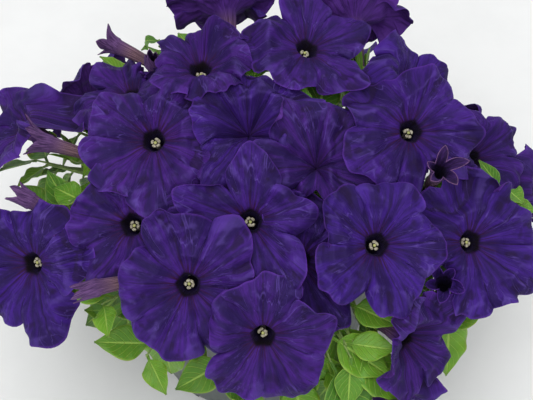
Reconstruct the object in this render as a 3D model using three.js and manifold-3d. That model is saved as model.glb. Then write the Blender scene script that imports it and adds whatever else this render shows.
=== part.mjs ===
// A petunia in bloom in a round plastic pot, in millimetres, +Z up.
// The origin is the centre of the pot's foot, on the surface that it stands on, and -Y is the front.
// Six leafy stems stand in the soil and branch to every bloom, bud and leaf. Each bloom is a funnel of
// five joined petals, and where blooms crowd, the lower one's petals bend clear of those above it.

import * as THREE from "three";
import { mergeVertices } from "three/addons/utils/BufferGeometryUtils.js";
import Module from "manifold-3d";

// Driving dimensions. In LAYERS, gap is the clearance between the petals of one bloom and the next, which a
// lower petal starts to leave margin beyond the upper rim, and held is the share of a petal that stays put.
const POT = { footRadius: 56, topRadius: 75, height: 120, wall: 1.6, floor: 2.4, band: 13, step: 2.2 };
const SIDES = 24;
const DRAIN = { count: 6, width: 12, height: 5, depth: 16 };
const SOIL = { edge: 106, dome: 5, clear: 0.5, seat: 0.3 };
const DOME = { centre: [0, 8, 120], semiAxes: [150, 125, 90] };
const TUBE = { length: 33, base: 2.1, waist: 3.6, mouth: 6, bend: 4 };
const TUBE_AT = { neck: 0.12, waist: 0.42, floor: 0.38 };
const PETAL = { thickness: 0.8, notch: 0.2, tip: 0.03, droop: 4, pleat: 2.5 };
const LAYERS = { gap: 5, margin: 7, reach: 30, rimSlope: 1.1, softness: 2, held: 0.35, steps: 4, least: 0.25 };
const GRID = { rings: 10, spokes: 60 };
const PASSAGE = { clear: 2.5, opening: 0.9, least: 9 };
const STAMENS = { radius: 0.9, headRadius: 3, headDepth: 2.4, sunk: 4, seat: 0.3 };
const CALYX = { radius: 4.1, depth: 4, seat: 0.3, sepal: 15, tipRadius: 5.7, thickness: 1, floorRadius: 2.4 };
const STEM = { radius: 2.6, tipRadius: 2, root: 24, hole: 3.6, ring: 9, spread: 26, top: 152, elbow: 132 };
const BRANCH = { stalk: 1.3, shoot: 1.6, seats: [0.45, 0.98], overRim: 9, beside: 7, inside: 4 };
const LEAF = { thickness: 0.8, seat: 0.8, breadth: 0.3, fold: 0.22, droop: 0.3, neck: 0.8, yield: 0.5 };
const SPIRAL = { turn: 137.5, spacing: 7, open: 48, opening: 9, lightward: 1.6, youngest: 0.55, growth: 0.2 };

// Blooms, the uppermost layer first. lon and lat place the throat on the flower dome, with lon 0 at the
// front and 90 at the right, and lift moves it outwards. turn and rise aim the face: turn 0 faces the
// front and 90 the right, and rise is the angle above level. radius is the petals' reach, cup is how far
// they stand forward of the throat, and roll turns the five petals. A shut throat hides its stamens.
const BLOOMS = [
  { name: "01", lon: -127, lat: 76, lift: -10, turn: -150, rise: 86, radius: 26, cup: 10, roll: 10 },
  { name: "02", lon: 147, lat: 69, lift: -10, turn: 70, rise: 72, radius: 34, cup: 9, roll: 30 },
  { name: "09", lon: 2, lat: 19, lift: -6, turn: 0, rise: 28, radius: 34, cup: 8, roll: 18 },
  { name: "06", lon: -15, lat: 33, lift: -8, turn: -6, rise: 45, radius: 38, cup: 9, roll: 36 },
  { name: "05", lon: -1, lat: 52, lift: -10, turn: -5, rise: 54, radius: 34, cup: 9, roll: 20 },
  { name: "07", lon: 33, lat: 39, lift: -10, turn: 18, rise: 55, radius: 35, cup: 9, roll: 60 },
  { name: "03", lon: 77, lat: 55, lift: -10, turn: 20, rise: 58, radius: 36, cup: 9, roll: 55 },
  { name: "08", lon: 56, lat: 24, lift: -8, turn: 36, rise: 48, radius: 38, cup: 9, roll: 5 },
  { name: "12", lon: 34, lat: 65, lift: -18, turn: 8, rise: 62, radius: 37, cup: 14, roll: 40, shut: true },
  { name: "21", lon: -6, lat: 79, lift: -18, turn: -5, rise: 68, radius: 35, cup: 14, roll: 25, shut: true },
  { name: "04", lon: -59, lat: 65, lift: -14, turn: -20, rise: 62, radius: 38, cup: 9, roll: 15 },
  { name: "10", lon: -38, lat: 43, lift: -18, turn: -30, rise: 52, radius: 35, cup: 8, roll: 48 },
  { name: "14", lon: 32, lat: 4, lift: -8, turn: 42, rise: 12, radius: 28, cup: 15, roll: 22, shut: true },
  { name: "11", lon: -55, lat: 15, lift: -10, turn: -38, rise: 34, radius: 37, cup: 9, roll: 33 },
  { name: "13", lon: 13, lat: 38, lift: -25, turn: 12, rise: 34, radius: 36, cup: 8, roll: 12 },
  { name: "18", lon: -115, lat: 54, lift: -27, turn: -120, rise: 58, radius: 33, cup: 9, roll: 8, shut: true },
  { name: "16", lon: -171, lat: 44, lift: -10, turn: -170, rise: 16, radius: 31, cup: 11, roll: 28 },
  { name: "15", lon: 150, lat: 41, lift: -8, turn: -174, rise: 8, radius: 33, cup: 11, roll: 50 },
  { name: "24", lon: 112, lat: 48, lift: -20, turn: 100, rise: 50, radius: 29, cup: 12, roll: 18, shut: true },
  { name: "19", lon: 92, lat: 23, lift: -24, turn: 80, rise: 45, radius: 28, cup: 13, roll: 44, shut: true },
  { name: "20", lon: 88, lat: -3, lift: -2, turn: 95, rise: 15, radius: 30, cup: 11, roll: 30 },
  { name: "17", lon: -98, lat: 28, lift: -12, turn: -95, rise: 32, radius: 35, cup: 10, roll: 56 },
  { name: "22", lon: 28, lat: -24, lift: 5, turn: 30, rise: -20, radius: 27, cup: 12, roll: 35, shut: true },
  { name: "23", lon: 165, lat: 2, lift: -12, turn: 168, rise: 18, radius: 33, cup: 9, roll: 14 },
  { name: "25", lon: -132, lat: -2, lift: -22, turn: -135, rise: 18, radius: 33, cup: 9, roll: 62 },
  { name: "26", lon: 118, lat: -6, lift: -22, turn: 122, rise: 15, radius: 32, cup: 9, roll: 40 },
];

// Closed buds and spent blooms: slim trumpets whose five tips are still folded or have folded again.
const BUDS = [
  { name: "1", lon: -130, lat: 48, lift: -8, turn: -105, rise: 20, radius: 9, cup: 13, roll: 10 },
  { name: "2", lon: -80, lat: 43, lift: -8, turn: -95, rise: 15, radius: 10, cup: 16, roll: 30 },
  { name: "3", lon: -66, lat: 31, lift: -8, turn: -105, rise: 30, radius: 8, cup: 12, roll: 20 },
  { name: "4", lon: -34, lat: 26, lift: -2, turn: -80, rise: -8, radius: 9, cup: 13, roll: 45 },
  { name: "5", lon: -124, lat: 63, lift: -12, turn: -20, rise: 75, radius: 8, cup: 10, roll: 0 },
  { name: "6", lon: 62, lat: 46, lift: -2, turn: 20, rise: 66, radius: 10, cup: 12, roll: 18 },
  { name: "7", lon: 45, lat: 16, lift: -12, turn: -10, rise: 60, radius: 8, cup: 13, roll: 5 },
];
const BUD_SHAPE = { notch: 0.5, droop: 0, wave: 0.4, thickness: 1.6 };

// How uneven the petals are: the height in millimetres of each count of waves round a bloom's rim, and the
// share of the reach that each count of bulges adds.
const WAVES = { 2: 1.55, 3: 1.25, 5: 1, 7: 0.85 };
const UNEVEN = { 2: 0.05, 3: 0.04 };

// Leafy shoots: where each tip stands and which way it grows, the turn of its first leaf, how many leaves
// it has and how long the longest is.
const SHOOTS = [
  { lon: -147, lat: 45, lift: -16, turn: -150, rise: 60, spin: 0, leaves: 3, size: 26 },
  { lon: 180, lat: 61, lift: -20, turn: 180, rise: 80, spin: 30, leaves: 3, size: 28 },
  { lon: 90, lat: 76, lift: -18, turn: 60, rise: 80, spin: 100, leaves: 3, size: 34 },
  { lon: -61, lat: 37, lift: -18, turn: -75, rise: 30, spin: 64, leaves: 4, size: 32 },
  { lon: -35, lat: 14, lift: -16, turn: -45, rise: 5, spin: 20, leaves: 3, size: 38 },
  { lon: -24, lat: -8, lift: -16, turn: -28, rise: -10, spin: 0, leaves: 3, size: 40 },
  { lon: -6, lat: -14, lift: -16, turn: -6, rise: -14, spin: 50, leaves: 3, size: 42 },
  { lon: 20, lat: 4, lift: -16, turn: 22, rise: 15, spin: 10, leaves: 4, size: 46 },
  { lon: 16, lat: -16, lift: -16, turn: 16, rise: -14, spin: 70, leaves: 3, size: 44 },
  { lon: 46, lat: -10, lift: -14, turn: 50, rise: 0, spin: 40, leaves: 4, size: 44 },
  { lon: 76, lat: 25, lift: -6, turn: 60, rise: 50, spin: 80, leaves: 3, size: 30, free: true },
  { lon: 61, lat: 40, lift: -14, turn: 50, rise: 66, spin: 15, leaves: 2, size: 26 },
  { lon: 105, lat: 6, lift: -30, turn: 105, rise: 10, spin: 35, leaves: 3, size: 42 },
  { lon: 142, lat: -4, lift: -20, turn: 142, rise: 5, spin: 55, leaves: 4, size: 44 },
  { lon: 178, lat: 18, lift: -24, turn: 178, rise: 20, spin: 25, leaves: 3, size: 42 },
  { lon: -160, lat: -6, lift: -20, turn: -158, rise: 0, spin: 65, leaves: 4, size: 44 },
  { lon: -105, lat: -2, lift: -24, turn: -100, rise: 5, spin: 45, leaves: 4, size: 44 },
];

// Points round each ring of a bloom's and a bud's skin. The limb's rings lie at a share of its reach.
const BLOOM_SKIN = { base: 5, tube: 10, limb: [[0.4, 10], [0.72, 15], [1, 20]], wall: 0.9, inset: 0 };
const BUD_SKIN = { base: 5, tube: 10, limb: [[1, 10]], wall: 1.8, inset: 1 };

// Two points that lie within this share of a turn are level with each other when rings are stitched.
const TIE = 1e-6;

const degrees = THREE.MathUtils.degToRad;
const { lerp, smoothstep, clamp } = THREE.MathUtils;
const vector = (x, y, z) => new THREE.Vector3(x, y, z);
const up = vector(0, 0, 1);
const wasm = await Module();
wasm.setup();

// A unit vector that points turn degrees round from the front, towards the right, and rise degrees up.
function heading(turn, rise) {
  const [a, e] = [degrees(turn), degrees(rise)];
  return vector(Math.sin(a) * Math.cos(e), -Math.cos(a) * Math.cos(e), Math.sin(e));
}

// The point of the flower dome at lon and lat, moved outwards by lift.
function onDome({ lon, lat, lift }) {
  const grown = vector(...DOME.semiAxes).addScalar(lift);
  return heading(lon, lat).multiply(grown).add(vector(...DOME.centre));
}

// A repeatable angle for a bloom's wave number k, so that no two blooms ruffle alike.
function phase(seed, k) {
  const scattered = Math.sin(seed * 12.9898 + k * 78.233) * 43758.5453;
  return 2 * Math.PI * (scattered - Math.floor(scattered));
}

// The sum of sine waves round a bloom, from a table of amplitudes by wave count.
function sineSum(seed, angle, amplitudes) {
  return Object.entries(amplitudes).reduce(
    (sum, [k, size]) => sum + size * Math.sin(k * angle + phase(seed, Number(k))),
    0,
  );
}

// Axes at an origin with z along a direction. x is level until it is turned about z by roll degrees.
class Frame {
  constructor(origin, z, roll = 0) {
    this.origin = origin.clone();
    this.z = z.clone().normalize();
    const side = Math.abs(this.z.z) > 0.999 ? vector(1, 0, 0) : up.clone().cross(this.z).normalize();
    this.x = side.applyAxisAngle(this.z, degrees(roll));
    this.y = this.z.clone().cross(this.x);
  }
  point(x, y, z) {
    const p = this.origin.clone().addScaledVector(this.z, z);
    return p.addScaledVector(this.x, x).addScaledVector(this.y, y);
  }
  local(p) {
    const d = p.clone().sub(this.origin);
    return vector(d.dot(this.x), d.dot(this.y), d.dot(this.z));
  }
  // Points round the axis, with a reach and a height for each.
  ring(count, reachAt, heightAt) {
    return Array.from({ length: count }, (_, i) => {
      const a = (2 * Math.PI * i) / count;
      return this.point(reachAt(i) * Math.cos(a), reachAt(i) * Math.sin(a), heightAt(i));
    });
  }
}

// A manifold solid from points and triangles, with its faces turned outwards.
function solid(points, faces) {
  const build = (list) =>
    new wasm.Manifold(
      new wasm.Mesh({
        numProp: 3,
        vertProperties: new Float32Array(points.flatMap((p) => [p.x, p.y, p.z])),
        triVerts: new Uint32Array(list.flat()),
      }),
    );
  const made = build(faces);
  return made.volume() > 0 ? made : build(faces.map(([a, b, c]) => [a, c, b]));
}

// A closed skin stitched from ring to ring, with a fan over the first and the last. Rings may differ in
// their number of points, and each ring's first point lies in the same direction. From the ring numbered
// turn the skin runs back over its own inside, split into triangles alike, so that a thin wall stays clear.
function ringSkin(rings, turn = rings.length) {
  const faces = [];
  const fan = (first, count, flip) => {
    for (let i = 1; i < count - 1; i += 1) {
      faces.push(flip ? [first, first + i + 1, first + i] : [first, first + i, first + i + 1]);
    }
  };
  fan(0, rings[0].length, true);
  let start = 0;
  for (let r = 0; r + 1 < rings.length; r += 1) {
    const [m, n] = [rings[r].length, rings[r + 1].length];
    const next = start + m;
    let [i, j] = [0, 0];
    while (i < m || j < n) {
      const [low, high] = [start + (i % m), next + (j % n)];
      const lead = (j + 0.5) / n - (i + 0.5) / m;
      if (j >= n || (i < m && (r < turn ? lead > -TIE : lead > TIE))) {
        faces.push([low, start + ((i + 1) % m), high]);
        i += 1;
      } else {
        faces.push([low, next + ((j + 1) % n), high]);
        j += 1;
      }
    }
    start = next;
  }
  fan(start, rings[rings.length - 1].length, false);
  return solid(rings.flat(), faces);
}

// A manifold solid of a closed three.js geometry.
function solidOfGeometry(geometry) {
  const bare = geometry.clone();
  bare.deleteAttribute("normal");
  bare.deleteAttribute("uv");
  const merged = mergeVertices(bare, 1e-4);
  const triVerts = new Uint32Array(merged.index.array);
  return new wasm.Manifold(
    new wasm.Mesh({ numProp: 3, vertProperties: merged.attributes.position.array, triVerts }),
  );
}

// A named mesh of a manifold solid.
function mesh(name, shape, material) {
  const made = shape.getMesh();
  const position = new Float32Array(made.numVert * 3);
  for (let i = 0; i < made.numVert; i += 1) {
    for (let k = 0; k < 3; k += 1) position[3 * i + k] = made.vertProperties[made.numProp * i + k];
  }
  const geometry = new THREE.BufferGeometry();
  geometry.setAttribute("position", new THREE.BufferAttribute(position, 3));
  geometry.setIndex(new THREE.BufferAttribute(made.triVerts, 1));
  geometry.computeVertexNormals();
  const result = new THREE.Mesh(geometry, material);
  result.name = name;
  return result;
}

// Rings round a path, closer together at its start. The first keeps the given x direction, and the rest
// turn as little as they can.
function ringsAlong(path, firstX, steps, count, radiusAt) {
  const shares = Array.from({ length: steps + 1 }, (_, s) => (s / steps) ** 1.5);
  const centres = shares.map((t) => path.getPoint(t));
  let x = firstX.clone();
  return centres.map((centre, s) => {
    const next = centres[Math.min(s + 1, steps)];
    const along = s > 0 ? next.clone().sub(centres[s - 1]).normalize() : path.getTangent(0);
    x = x.addScaledVector(along, -x.dot(along)).normalize();
    const y = along.clone().cross(x);
    return Array.from({ length: count }, (_, i) => {
      const a = (2 * Math.PI * i) / count;
      const [u, v] = [radiusAt(shares[s]) * Math.cos(a), radiusAt(shares[s]) * Math.sin(a)];
      return centre.clone().addScaledVector(x, u).addScaledVector(y, v);
    });
  });
}

// How far the limb of a bloom reaches from its axis at an angle. It dips at the notches between the five
// petals and comes to a small tip at each midrib.
function petalReach(bloom, angle) {
  const middle = Math.abs(Math.cos(2.5 * angle));
  const notch = (bloom.notch ?? PETAL.notch) * (1 - middle) ** 1.6;
  const tip = PETAL.tip * middle ** 24;
  const uneven = sineSum(bloom.seed, angle, UNEVEN);
  return bloom.radius * (1 - notch + tip + uneven);
}

// The limb's height along the bloom's axis, s going from 0 at the mouth of the tube to 1 at the rim: a
// flared cup whose rim droops, with a valley between petals and slow waves that grow towards the rim.
function petalHeight(bloom, s, angle) {
  const valley = (1 - Math.abs(Math.cos(2.5 * angle))) ** 2;
  const flare = bloom.cup * (1 - (1 - s) ** 2) - (bloom.droop ?? PETAL.droop) * s ** 4;
  const wave = (bloom.wave ?? 1) * sineSum(bloom.seed, angle, WAVES);
  return flare - PETAL.pleat * s * valley + s * s * wave;
}

// The distance from a bloom's axis at s, where reach is the rim's.
function limbRadius(s, reach) {
  return TUBE.mouth + (reach - TUBE.mouth) * s;
}

// The settled height of a bloom's limb at a place in its own frame. Past the rim it climbs steeply, so
// that a lower petal comes out from under the rim before it rises.
function settledHeight(bloom, x, y) {
  const { rings, spokes } = GRID;
  const angle = Math.atan2(y, x);
  const reach = petalReach(bloom, angle);
  const away = Math.hypot(x, y);
  const ring = clamp((away - TUBE.mouth) / (reach - TUBE.mouth), 0, 1) * rings;
  const spoke = ((angle / (2 * Math.PI) + 1) % 1) * spokes;
  const [r, a] = [Math.min(Math.floor(ring), rings - 1), Math.floor(spoke)];
  const along = (row) => lerp(row[a % spokes], row[(a + 1) % spokes], spoke - a);
  const height = lerp(along(bloom.heights[r]), along(bloom.heights[r + 1]), ring - r);
  return height + LAYERS.rimSlope * Math.max(0, away - reach - LAYERS.margin);
}

// How far a point has to sink, against the direction upwards, to pass below the blooms above it.
function sinkBelow(point, upwards, above) {
  let most = -Infinity;
  for (const bloom of above) {
    const facing = upwards.dot(bloom.frame.z);
    if (facing < LAYERS.least) continue;
    let sink = 0;
    let near = true;
    for (let step = 0; step < LAYERS.steps && near; step += 1) {
      const q = bloom.frame.local(point.clone().addScaledVector(upwards, -sink));
      near = Math.hypot(q.x, q.y) < bloom.radius + LAYERS.reach;
      sink += (q.z - settledHeight(bloom, q.x, q.y) + LAYERS.gap) / facing;
    }
    if (near) most = Math.max(most, sink);
  }
  return most === -Infinity ? 0 : 0.5 * (most + Math.hypot(most, LAYERS.softness));
}

// A point of a bloom's limb, at s on the spoke at an angle, bent clear of the blooms above. It can lie
// lower than the petal's face, or inset towards the axis.
function limbPoint(bloom, s, angle, lowered = 0, inset = 0) {
  const away = limbRadius(s, Math.min(petalReach(bloom, angle), openReach(bloom, angle))) - inset;
  const [x, y] = [away * Math.cos(angle), away * Math.sin(angle)];
  const free = bloom.frame.point(x, y, petalHeight(bloom, s, angle));
  const held = smoothstep(s, 0, LAYERS.held);
  return free.addScaledVector(bloom.frame.z, -held * sinkBelow(free, bloom.frame.z, bloom.above) - lowered);
}

// Where another bloom's tube or stalk passes through a petal, the petals part round it: the reach that is
// still open on each spoke, with the parting widening outwards.
function openReach(bloom, angle) {
  return bloom.passages.reduce((least, [at, reach]) => {
    const apart = Math.abs(Math.atan2(Math.sin(angle - at), Math.cos(angle - at)));
    return Math.min(least, reach + PASSAGE.opening * bloom.radius * apart);
  }, Infinity);
}

// Places a bloom and works out the settled heights of its limb on a grid of rings and spokes.
function settle(bloom, seed, above) {
  bloom.seed = seed;
  bloom.frame = new Frame(onDome(bloom), heading(bloom.turn, bloom.rise), bloom.roll);
  bloom.passages = [];
  bloom.above = above.filter((other) => {
    const apart = other.frame.origin.distanceTo(bloom.frame.origin);
    return apart < other.radius + bloom.radius + LAYERS.reach;
  });
  const { rings, spokes } = GRID;
  bloom.grid = Array.from({ length: rings + 1 }, (_, r) =>
    Array.from({ length: spokes }, (_, a) => limbPoint(bloom, r / rings, (2 * Math.PI * a) / spokes)),
  );
  bloom.heights = bloom.grid.map((row) => row.map((p) => bloom.frame.local(p).z));
}

// The places where the petals of a bloom have to part round the given beads, which are spheres along
// other blooms' tubes and stalks.
function findPassages(bloom, beads) {
  const { rings, spokes } = GRID;
  const { origin } = bloom.frame;
  const close = beads.filter(({ at, radius }) => at.distanceTo(origin) < 2 * bloom.radius + radius);
  const blocked = (p) => close.some(({ at, radius }) => p.distanceTo(at) < radius + PASSAGE.clear);
  for (let a = 0; a < spokes; a += 1) {
    const angle = (2 * Math.PI * a) / spokes;
    const hit = bloom.grid.findIndex((row) => blocked(row[a]));
    if (hit >= 0) {
      const reach = limbRadius((hit - 1) / rings, petalReach(bloom, angle));
      bloom.passages.push([angle, Math.max(PASSAGE.least, reach)]);
    }
  }
}

// The centre line of a bloom's tube, t going from 0 at the mouth to 1 at the base, where it bends down.
function tubeCentre(bloom, t) {
  const { z, origin } = bloom.frame;
  const down = z.clone().multiplyScalar(z.z).sub(up);
  return origin.clone().addScaledVector(z, -TUBE.length * t).addScaledVector(down, TUBE.bend * t * t);
}

function tubeRadius(t) {
  return t < TUBE_AT.waist
    ? lerp(TUBE.mouth, TUBE.waist, (t / TUBE_AT.waist) ** 0.7)
    : lerp(TUBE.waist, TUBE.base, (t - TUBE_AT.waist) / (1 - TUBE_AT.waist));
}

// The frame across a bloom's tube at t, with z up the tube. It keeps the bloom's own directions round it.
function tubeFrame(bloom, t) {
  const { x, z } = bloom.frame;
  const down = z.clone().multiplyScalar(z.z).sub(up);
  const along = z.clone().multiplyScalar(TUBE.length).addScaledVector(down, -2 * TUBE.bend * t);
  const frame = new Frame(tubeCentre(bloom, t), along);
  frame.x = x.clone().addScaledVector(frame.z, -x.dot(frame.z)).normalize();
  frame.y = frame.z.clone().cross(frame.x);
  return frame;
}

// A ring round a bloom's tube.
function tubeRing(bloom, t, count, reachAt) {
  return tubeFrame(bloom, t).ring(count, reachAt, () => 0);
}

// One bloom's corolla: a thin funnel, up the outside of the tube, out under the limb, round the rim and
// back over the petals into the tube.
function corolla(bloom, skin) {
  const limbRing = (s, count, ...moved) =>
    Array.from({ length: count }, (_, i) => limbPoint(bloom, s, (2 * Math.PI * i) / count, ...moved));
  const { neck, waist, floor } = TUBE_AT;
  const thickness = bloom.thickness ?? PETAL.thickness;
  const tube = (t, count, inset) => tubeRing(bloom, t, count, () => tubeRadius(t) - inset);
  return ringSkin([
    tube(1, skin.base, 0),
    tube(waist, skin.base, 0),
    tube(neck, skin.tube, 0),
    ...skin.limb.map(([s, count]) => limbRing(s, count, thickness)),
    ...skin.limb.toReversed().map(([s, count]) => limbRing(s, count, 0, skin.inset)),
    tube(0, skin.tube, skin.wall),
    tube(floor, skin.base, skin.wall),
  ], 3 + skin.limb.length);
}

// Five anthers round the stigma, on one slim column that stands on the tube's inner floor.
function stamens(bloom) {
  const { radius, headRadius, headDepth, sunk, seat } = STAMENS;
  const column = (depth) => tubeRing(bloom, depth / TUBE.length, 5, () => radius);
  const star = (depth, reach) => tubeRing(bloom, depth / TUBE.length, 10, (i) => reach * (i % 2 ? 0.6 : 1));
  return ringSkin([
    column(TUBE_AT.floor * TUBE.length - seat),
    column(sunk + headDepth),
    star(sunk, headRadius),
  ]);
}

// The line of stem number k, from its root in the soil up and outwards.
function stemCurve(k) {
  const at = (reach, z) => heading(60 * k, 0).multiplyScalar(reach).setZ(z);
  const { ring, root, spread, top, elbow } = STEM;
  const ground = SOIL.edge + SOIL.dome;
  return new THREE.CatmullRomCurve3([
    at(ring, ground - root),
    at(ring, ground + 4),
    at(ring + 0.3 * spread, elbow),
    at(ring + spread, top),
  ]);
}

// The stem in whose sixth of the plant a point lies.
function nearestStem(p) {
  const turn = THREE.MathUtils.radToDeg(Math.atan2(p.x, -p.y));
  return Math.round((turn + 360) / 60) % 6;
}

// The line of a thin stalk that leaves a tip backwards and runs to its seat on a stem. From a tip beside
// the pot it first climbs over the rim.
function stalkPath({ tip, away }, seat) {
  const reach = seat.distanceTo(tip);
  const inRim = Math.hypot(tip.x, tip.y) < POT.topRadius - BRANCH.inside;
  if (inRim || tip.z > POT.height + 2 * BRANCH.overRim) {
    const leaving = tip.clone().addScaledVector(away, 0.4 * reach);
    return new THREE.CubicBezierCurve3(tip, leaving, seat.clone().addScaledVector(up, 0.05 * reach), seat);
  }
  const above = (radius, z) => vector(tip.x, tip.y, 0).setLength(radius).setZ(z);
  const beside = above(POT.topRadius + BRANCH.beside, lerp(tip.z, POT.height, 0.6));
  const rim = above(POT.topRadius - BRANCH.inside, POT.height + BRANCH.overRim);
  return new THREE.CatmullRomCurve3([tip, ...(tip.z < POT.height ? [beside] : []), rim, seat]);
}

// A stalk that climbs over the rim needs more rings than a plain one.
function stalkSteps(path) {
  return path.isCatmullRomCurve3 ? 6 : 3;
}

// The green cup under a flower with its five sepals, and the stalk that carries it from the stem.
function stalkedCalyx({ frame, path }) {
  const { radius, seat, sepal, tipRadius, thickness, floorRadius } = CALYX;
  const crown = (inset) =>
    frame.ring(10, (i) => (i % 2 ? radius : tipRadius) - inset, (i) => (i % 2 ? 0.5 : sepal));
  const stalk = ringsAlong(path, frame.x, stalkSteps(path), 4, () => BRANCH.stalk);
  return ringSkin([
    ...stalk.toReversed().map(([first, ...rest]) => [first, ...rest.reverse()]),
    frame.ring(5, () => radius, () => -seat),
    crown(0),
    crown(thickness),
    frame.ring(5, () => floorRadius, () => -seat),
  ]);
}

// The plain rod of a leafy shoot.
function rod({ frame, path }) {
  return ringSkin(ringsAlong(path, frame.x, stalkSteps(path) + 1, 4, () => BRANCH.shoot));
}

// A leaf in a frame whose z is the way that it grows and whose x is its upper face: a thin blade, folded
// along the midrib, that droops towards its tip and bends below the blooms above it.
function leaf(frame, length) {
  const outward = outwardAt(frame.origin);
  const swell = (t) => Math.sin(Math.PI * clamp(1.2 * t - 0.2, 0, 1) ** 0.75);
  const half = (t) => Math.max(LEAF.neck, LEAF.breadth * length * swell(t));
  const station = (t) => {
    const [w, drop] = [half(t), LEAF.droop * length * t * t];
    const across = [[w, 0], [0, -LEAF.fold * w], [-w, 0]];
    const z = length * t - LEAF.seat;
    const side = (lowered) => across.map(([y, x]) => frame.point(x - drop - lowered, y, z));
    const sinks = side(0).map((p) => sinkBelow(p, outward, BLOOMS));
    const sink = Math.min(smoothstep(t, 0, LAYERS.held) * Math.max(...sinks), LEAF.yield * length * t);
    return [...side(0), ...side(LEAF.thickness)].map((p) => p.addScaledVector(outward, -sink));
  };
  const end = station(1);
  return thinBlade([0, 0.35, 0.72].map(station), [end[1], end[4]]);
}

// A thin blade from its stations, each with points across the top and the same points lowered. Its tip is
// one edge. Both faces are split into triangles alike, so that they stay clear of each other.
function thinBlade(stations, tip) {
  const wide = stations[0].length / 2;
  const starts = stations.map((_, r) => 2 * wide * r);
  const quad = (a, b, c, d) => [[a, b, c], [a, c, d]];
  const faces = [];
  const cover = (row) => faces.push(...row, ...row.map(([a, b, c]) => [a + wide, c + wide, b + wide]));
  for (let i = 0; i + 1 < wide; i += 1) faces.push(...quad(i, i + 1, i + 1 + wide, i + wide));
  for (let r = 0; r + 1 < stations.length; r += 1) {
    const [a, b] = [starts[r], starts[r + 1]];
    for (let i = 0; i + 1 < wide; i += 1) cover(quad(a + i, b + i, b + i + 1, a + i + 1));
    faces.push(...quad(a, a + wide, b + wide, b));
    faces.push(...quad(a + wide - 1, b + wide - 1, b + 2 * wide - 1, a + 2 * wide - 1));
  }
  const end = 2 * wide * stations.length;
  const a = starts.at(-1);
  for (let i = 0; i + 1 < wide; i += 1) {
    faces.push([a + i, end, a + i + 1], [a + i + wide, a + i + 1 + wide, end + 1]);
  }
  faces.push(...quad(a, a + wide, end + 1, end));
  faces.push(...quad(a + wide - 1, end, end + 1, a + 2 * wide - 1));
  return solid([...stations.flat(), ...tip], faces);
}

// The way out of the plant at a point.
function outwardAt(p) {
  return p.clone().sub(vector(...DOME.centre)).normalize();
}

// The leaves of a shoot, in a spiral along its rod, larger and more open lower down.
function shootLeaves(row, frame, path) {
  return Array.from({ length: row.leaves }, (_, i) => {
    const around = degrees(SPIRAL.turn * i);
    const side = frame.x.clone().multiplyScalar(Math.cos(around)).addScaledVector(frame.y, Math.sin(around));
    const open = degrees(SPIRAL.open + SPIRAL.opening * i);
    const grows = frame.z.clone().multiplyScalar(Math.cos(open)).addScaledVector(side, Math.sin(open));
    const place = Math.min(0.9, (SPIRAL.spacing * (i + 0.15)) / path.getLength());
    const blade = new Frame(path.getPointAt(place), grows);
    const light = frame.z.clone().addScaledVector(up, SPIRAL.lightward);
    blade.x = light.addScaledVector(grows, -light.dot(grows)).normalize();
    blade.y = blade.z.clone().cross(blade.x);
    return leaf(blade, row.size * Math.min(1, SPIRAL.youngest + SPIRAL.growth * i));
  });
}

// The thin-walled pot, with a banded rim and drain slots through the corner of its foot.
function pot() {
  const { footRadius, topRadius, height, wall, floor, band, step } = POT;
  const neck = height - band;
  const neckRadius = topRadius - step;
  const profile = [
    [0, 0],
    [footRadius, 0],
    [neckRadius, neck],
    [topRadius, neck + 1],
    [topRadius, height],
    [topRadius - wall - 0.5 * step, height],
    [neckRadius - wall, neck - 1],
    [footRadius - wall, floor],
    [0, floor],
  ].map(([r, z]) => new THREE.Vector2(r, z));
  const shell = solidOfGeometry(new THREE.LatheGeometry(profile, SIDES).rotateX(Math.PI / 2));
  return Array.from({ length: DRAIN.count }, (_, i) => {
    const slot = new THREE.BoxGeometry(DRAIN.width, DRAIN.depth, DRAIN.height + 2);
    slot.translate(0, -footRadius, 0.5 * DRAIN.height - 1).rotateZ((2 * Math.PI * (i + 0.5)) / DRAIN.count);
    return solidOfGeometry(slot);
  }).reduce((shape, slot) => shape.subtract(slot), shell);
}

// The potting soil that fills the pot, slightly domed, with a plain hole for each stem.
function soil() {
  const { footRadius, topRadius, height, wall, floor, band, step } = POT;
  const { edge, dome, clear, seat } = SOIL;
  const slope = (topRadius - step - footRadius) / (height - band);
  const wallAt = (z) => footRadius + slope * z - wall - clear;
  const profile = [
    [0, floor + seat],
    [wallAt(floor) - 0.3, floor + seat],
    [wallAt(edge) - 0.3, edge],
    [0.6 * wallAt(edge), edge + 0.7 * dome],
    [0, edge + dome],
  ].map(([r, z]) => new THREE.Vector2(r, z));
  const body = solidOfGeometry(new THREE.LatheGeometry(profile, SIDES).rotateX(Math.PI / 2));
  return stems.reduce((shape, stem) => {
    const foot = stem.getPoint(0);
    const hole = new THREE.CylinderGeometry(STEM.hole, STEM.hole, 60, 6).rotateX(Math.PI / 2);
    return shape.subtract(solidOfGeometry(hole.translate(foot.x, foot.y, foot.z + 30 - seat)));
  }, body);
}

const materials = {
  pot: new THREE.MeshStandardMaterial({ color: 0x59625f, roughness: 0.55, metalness: 0 }),
  soil: new THREE.MeshStandardMaterial({ color: 0x2c1f17, roughness: 1, metalness: 0 }),
  leaf: new THREE.MeshStandardMaterial({ color: 0x5a9a2e, roughness: 0.6, metalness: 0 }),
  petal: new THREE.MeshStandardMaterial({ color: 0x3f2583, roughness: 0.75, metalness: 0 }),
  bud: new THREE.MeshStandardMaterial({ color: 0x5c4056, roughness: 0.8, metalness: 0 }),
  stamen: new THREE.MeshStandardMaterial({ color: 0xcfc8a4, roughness: 0.8, metalness: 0 }),
};

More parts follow.
